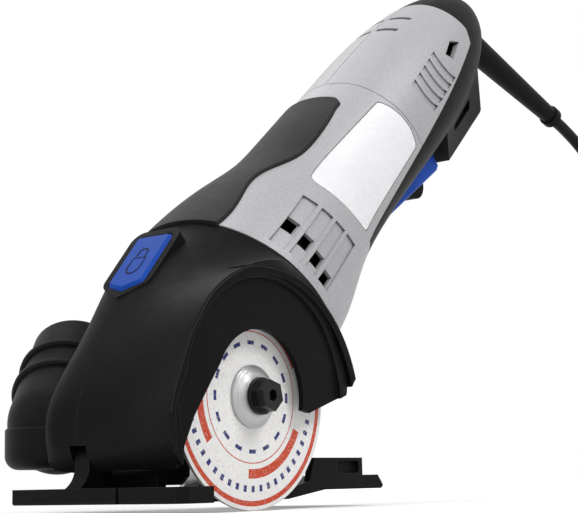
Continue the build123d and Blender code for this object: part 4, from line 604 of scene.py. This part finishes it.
class SAW_OT_cord(Operator):
    """Mains cord on one line from the boot to the plug, with its unseen length coiled and tied"""
    bl_idname = "saw.cord"
    bl_label = "Mains cord"

    def coil(self):
        """Control points of the turns: inwards on the floor, up a layer, and outwards again."""
        pitch = sizes().coil_pitch
        turns = sizes().coil_turns
        turning = turns + 0.5
        least = sizes().coil_radius - pitch * turns / 2
        outer = least + pitch * turning
        lay = COIL_ENTRY.z
        centre = Vector((COIL_CENTRE_X, COIL_ENTRY.y - outer, 0.0))
        # A control point stands a little outside the circle that the spline follows
        stand_off = 1.0 + 0.75 * (1.0 / math.cos(math.pi / COIL_STEPS) - 1.0)
        points = [COIL_ENTRY]
        for step in range(1, round(2 * turning * COIL_STEPS)):
            along = step / COIL_STEPS
            radius = (least + pitch * abs(along - turning)) * stand_off
            angle = math.radians(90.0 + 360.0 * along)
            to_layer = eased((along - turning) / LAYER_CLIMB + 0.5)
            to_plug = eased((along - 2 * turning) / PLUG_CLIMB + 1.0)
            height = lay + pitch * to_layer + (PLUG_HEIGHT - lay - pitch) * to_plug
            points.append(centre + Vector((radius * math.cos(angle), radius * math.sin(angle), height)))
        for run in (0.0, PLUG_TAIL / 2, PLUG_TAIL):
            points.append(Vector((COIL_CENTRE_X - run, COIL_ENTRY.y, PLUG_HEIGHT)))
        return points

    def execute(self, context):
        points = [Vector(place) for place in CORD_RUN] + self.coil()
        curve = bpy.data.curves.new("mains_cord", "CURVE")
        curve.dimensions = "3D"
        line = curve.splines.new("NURBS")
        line.points.add(len(points) - 1)
        for point, place in zip(line.points, points):
            point.co = (*place, 1.0)
        line.order_u = 3
        line.use_endpoint_u = True
        line.resolution_u = 6
        curve.bevel_depth = sizes().cord_diameter / 2
        curve.bevel_resolution = 5
        curve.use_fill_caps = True
        curve.materials.append(moulded_plastic(
            "cord_jacket", colours().cord_black, grain=900.0, relief=0.0001, rough=(0.4, 0.55)))
        cord = bpy.data.objects.new("mains_cord", curve)
        context.scene.collection.objects.link(cord)
        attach(cord, "housing")
        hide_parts("cord_lead", "cord_coil")
        return {"FINISHED"}


class SAW_OT_shells(Operator):
    """Finishes of the housings, grip, plate and controls"""
    bl_idname = "saw.shells"
    bl_label = "Shells"

    def execute(self, context):
        tone = colours()
        paint(moulded_plastic("moulded_black", tone.moulded_black),
              "wheel_guard", "gear_housing_right", "switch_housing", "lock_off_lever")
        # The dust port's paler black is painted light on its top
        paint(moulded_plastic("port_painted_light_black", tone.port_painted_light_black, sheen=0.09), "dust_port")
        paint(speckled_plastic("speckled_grey", tone.housing_grey),
              "motor_housing", "rear_housing_left", "rear_housing_right")
        grip_rubber = moulded_plastic(
            "soft_grip_rubber", tone.grip_grey, grain=700.0, relief=0.0003, rough=(0.62, 0.8), gloss=0.2)
        paint(grip_rubber, "soft_grip")
        paint(name_plate("bare_plate", tone.plate_white), "label_plate")
        # Paler blue along the edges of the button and paddle is a painted highlight
        blue_plastic = moulded_plastic(
            "blue_plastic", tone.control_blue, grain=1200.0, relief=0.0001, rough=(0.34, 0.46), drift=0.1,
            gloss=0.1, edge_highlight=shade(tone.control_blue, 1.8), sheen=0.0)
        paint(blue_plastic, "spindle_lock_button", "paddle")
        boot_rubber = moulded_plastic(
            "boot_rubber", tone.moulded_black, grain=900.0, relief=0.0002, rough=(0.45, 0.6))
        paint(boot_rubber, "cord_boot", "power_plug", "cord_tie")
        return {"FINISHED"}


class SAW_OT_wheel(Operator):
    """Abrasive wheel with a plain generic print"""
    bl_idname = "saw.wheel"
    bl_label = "Cutting wheel"

    def execute(self, context):
        tone = colours()
        pen = NodePen("abrasive_wheel")
        grit = pen.noise(scale=1600.0, detail=3.0, roughness=0.75)
        radius, angle = pen.polar()

        def band(middle, half):
            return pen.math("COMPARE", radius, middle, half)

        def dashes(count, level):
            return pen.math("GREATER_THAN", pen.math("COSINE", pen.math("MULTIPLY", angle, count)), level)

        face = pen.ramp(grit, [
            (0.3, shade(tone.wheel_pale, 0.45)), (0.38, shade(tone.wheel_pale, 0.96)),
            (0.7, shade(tone.wheel_pale, 1.1))])
        arcs = pen.math("MULTIPLY", band(*ARC_RING), dashes(ARC_COUNT, -0.25))
        red = pen.math("MAXIMUM", pen.math("MAXIMUM", band(*RIM_BAND), band(*FINE_RING)), arcs)
        ticks = pen.math("MULTIPLY", band(*TICK_RING), dashes(TICK_COUNT, 0.35))
        blue = pen.math("MAXIMUM", ticks, pen.math("MULTIPLY", band(*DASH_RING), dashes(DASH_COUNT, 0.1)))
        print_wear = pen.spread(grit, low=0.25, high=1.0, start=0.3, finish=0.45)
        printed = pen.mix(pen.math("MULTIPLY", red, print_wear), face, tone.wheel_red)
        printed = pen.mix(pen.math("MULTIPLY", blue, print_wear), printed, tone.wheel_blue)
        rim = pen.math("GREATER_THAN", radius, WHEEL_EDGE)
        pen.finish(
            Base_Color=pen.mix(rim, printed, shade(tone.wheel_pale, 0.35)),
            Roughness=pen.spread(pen.noise(scale=900.0), low=0.6, high=0.85),
            Specular_IOR_Level=0.3,
            Normal=pen.bump(grit, strength=0.4, distance=0.0002))
        paint(pen.material, "cutting_wheel")
        return {"FINISHED"}


class SAW_OT_metals(Operator):
    """Metal pieces, the foot, and what is hidden in the motor and the switch"""
    bl_idname = "saw.metals"
    bl_label = "Metal and hidden pieces"

    def execute(self, context):
        tone = colours()
        paint(turned_metal("turned_flange", tone.steel), "outer_flange", "inner_flange")
        paint(metal("bright_steel", tone.steel), "spindle", "plug_pins", "paddle_pin", "lock_off_pin",
              "foot_pivot_pin", "depth_clamp_bolt", "depth_arc", "arc_rivets", "motor_shaft",
              "bearing_retainer", "spindle_bearing_outer", "spindle_bearing_inner", "motor_bearing_front",
              "motor_bearing_rear", "bevel_gear", "bevel_pinion", "paddle_spring", "spindle_lock_spring")
        black_oxide = moulded_plastic(
            "black_oxide", tone.oxide_black, grain=1400.0, relief=0.0001, rough=(0.32, 0.45), drift=0.2,
            gloss=0.2)
        paint(black_oxide, "wheel_bolt", "housing_screws")
        coated_foot = moulded_plastic(
            "coated_foot", tone.foot_black, grain=1800.0, relief=0.0002, rough=(0.4, 0.58))
        paint(coated_foot, "foot_plate")
        paint(metal("cast_alloy", tone.alloy_grey, rough=(0.4, 0.55), grain=700.0), "gear_case")
        paint(metal("lamination_steel", tone.lamination_grey, rough=(0.4, 0.5)),
              "armature_core", "stator_core")
        paint(metal("copper_wire", tone.copper, rough=(0.3, 0.45)),
              "armature_windings", "field_coils", "commutator", "brush_holders")
        paint(moulded_plastic("dark_nylon", tone.nylon_grey),
              "cooling_fan", "brush_plate", "switch_module", "depth_clamp_lever")
        carbon_block = moulded_plastic(
            "carbon_block", tone.carbon_grey, grain=1200.0, relief=0.0002, rough=(0.6, 0.8))
        paint(carbon_block, "carbon_brushes")
        return {"FINISHED"}


class SAW_OT_symbols(Operator):
    """Raised padlock on the spindle lock button, and the turning arrow on the guard"""
    bl_idname = "saw.symbols"
    bl_label = "Raised symbols"

    def on_button(self, point, lift):
        up = BUTTON_TOP + BUTTON_SLOPE * (point.x - BUTTON_BACK)
        return body_point(point.x, point.y, up + lift)

    def on_cheek(self, point, lift):
        return Vector((point.x, CHEEK_FACE + lift, point.y))

    def execute(self, context):
        size = sizes()
        tone = colours()
        body = arc((LOCK_ROUND, 0.0), LOCK_HALF, 90, 270)
        body += [Vector((LOCK_REAR, -LOCK_HALF)), Vector((LOCK_REAR, LOCK_HALF))]
        shackle = [Vector((LOCK_REAR, SHACKLE_HALF))]
        shackle += arc((SHACKLE_ROUND, 0.0), SHACKLE_HALF, 90, -90)
        shackle += [Vector((SHACKLE_END, -SHACKLE_HALF))]
        padlock = raised_lines(
            "lock_symbol", [(body, True), (shackle, False)], size.symbol_line, size.symbol_height,
            self.on_button)
        ink = moulded_plastic(
            "symbol_blue", tone.symbol_blue, grain=1200.0, relief=0.00005, rough=(0.35, 0.5),
            edge_highlight=tone.symbol_blue)
        add_piece("lock_symbol", padlock, ink, "lock_button")
        arrow = raised_lines(
            "turning_arrow", [(ARROW_STEM, False), (ARROW_HEAD, False)], size.symbol_line, size.symbol_height,
            self.on_cheek)
        relief = moulded_plastic("raised_black", shade(tone.moulded_black, 0.6))
        add_piece("turning_arrow", arrow, relief, "housing")
        return {"FINISHED"}


class SAW_OT_springs(Operator):
    """Springs of the button and the paddle, copied onto the housing in place of their solids"""
    bl_idname = "saw.springs"
    bl_label = "Springs"

    def press(self, joint, foot):
        """How far the pressed piece moves at a point, at the limit of its joint."""
        if joint["type"] == "slide":
            return Vector(joint["axis"]) * joint["range_m"][1]
        hinge = Vector(joint["pos_m"])
        turn = Matrix.Rotation(math.radians(joint["range_deg"][1]), 3, Vector(joint["axis"]))
        return turn @ (foot - hinge) + hinge - foot

    def add_spring(self, node, joint, along):
        """Copy of a spring's solid on the housing, with the solid hidden."""
        mesh = nodes[node].data.copy()
        mesh.materials.clear()
        spring = add_piece(f"{node}_wire", mesh, nodes[node].data.materials[0], "housing")
        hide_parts(node)
        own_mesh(spring)

    def execute(self, context):
        joints = {joint["name"]: joint for joint in frame["joints"]}
        self.add_spring("spindle_lock_spring", joints["spindle_lock_press"], -UPWARD)
        self.add_spring("paddle_spring", joints["paddle_press"], UPWARD)
        return {"FINISHED"}


class SAW_OT_guard_bead(Operator):
    """Fine moulded bead along the rim of the wheel guard, paler than the guard as a painted highlight"""
    bl_idname = "saw.guard_bead"
    bl_label = "Guard bead"

    def on_rim(self, point, lift):
        return Vector((SPINDLE.x + point.x, BEAD_FACE + lift, SPINDLE.z + point.y))

    def execute(self, context):
        size = sizes()
        places = []
        for turn, reach in BEAD_LINE:
            angle = math.radians(turn)
            places.append(Vector((reach * math.cos(angle), reach * math.sin(angle))))
        bead = raised_lines(
            "guard_bead", [(smooth_line(places), False)], size.bead_width, size.bead_height, self.on_rim)
        # Paler black of the bead: a painted highlight
        highlight_black = moulded_plastic("bead_black", colours().bead_highlight_grey)
        add_piece("guard_bead", bead, highlight_black, "housing")
        return {"FINISHED"}


class SAW_OT_belly_rib(Operator):
    """Stiffening rib under the nose, which goes into the foot's window at full depth"""
    bl_idname = "saw.belly_rib"
    bl_label = "Belly rib"

    def execute(self, context):
        low, high = RIB_SPAN
        outline = [
            (low, RIB_TOP), (low, RIB_BOTTOM + RIB_CORNER), (low + RIB_CORNER, RIB_BOTTOM),
            (high - RIB_CORNER, RIB_BOTTOM), (high, RIB_BOTTOM + RIB_CORNER), (high, RIB_TOP)]
        shape = bmesh.new()
        faces = []
        for side in (-1, 1):
            corners = []
            for y, z in outline:
                share = (z - RIB_BOTTOM) / (RIB_TOP - RIB_BOTTOM)
                half = RIB_HALF_BOTTOM + (RIB_HALF_TOP - RIB_HALF_BOTTOM) * share
                corners.append(shape.verts.new((RIB_PLACE + side * half, y, z)))
            shape.faces.new(corners)
            faces.append(corners)
        count = len(outline)
        for index in range(count):
            following = (index + 1) % count
            shape.faces.new((faces[0][index], faces[0][following], faces[1][following], faces[1][index]))
        rib_black = moulded_plastic("rib_black", colours().moulded_black)
        add_piece("belly_rib", closed_mesh("belly_rib", shape), rib_black, "housing")
        return {"FINISHED"}


class SAW_PT_panel(Panel):
    """Steps that dress the saw"""
    bl_label = "Compact saw"
    bl_idname = "SAW_PT_panel"
    bl_space_type = "VIEW_3D"
    bl_region_type = "UI"
    bl_category = "Saw"

    def draw(self, context):
        layout = self.layout
        for operator in OPERATORS:
            layout.operator(operator.bl_idname)
        for group in (context.scene.saw_colours, context.scene.saw_sizes):
            for key in group.__annotations__:
                layout.prop(group, key)


OPERATORS = (SAW_OT_stage, SAW_OT_cord, SAW_OT_shells, SAW_OT_wheel, SAW_OT_metals, SAW_OT_springs,
             SAW_OT_symbols, SAW_OT_guard_bead, SAW_OT_belly_rib)
CLASSES = (SawColours, SawSizes) + OPERATORS + (SAW_PT_panel,)


def register():
    for item in CLASSES:
        bpy.utils.register_class(item)
    bpy.types.Scene.saw_colours = PointerProperty(type=SawColours)
    bpy.types.Scene.saw_sizes = PointerProperty(type=SawSizes)


def unregister():
    del bpy.types.Scene.saw_sizes
    del bpy.types.Scene.saw_colours
    for item in reversed(CLASSES):
        bpy.utils.unregister_class(item)


def main():
    register()
    bpy.ops.saw.stage()
    bpy.ops.saw.cord()
    bpy.ops.saw.shells()
    bpy.ops.saw.wheel()
    bpy.ops.saw.metals()
    bpy.ops.saw.springs()
    bpy.ops.saw.symbols()
    bpy.ops.saw.guard_bead()
    bpy.ops.saw.belly_rib()


if __name__ == "__main__":
    main()
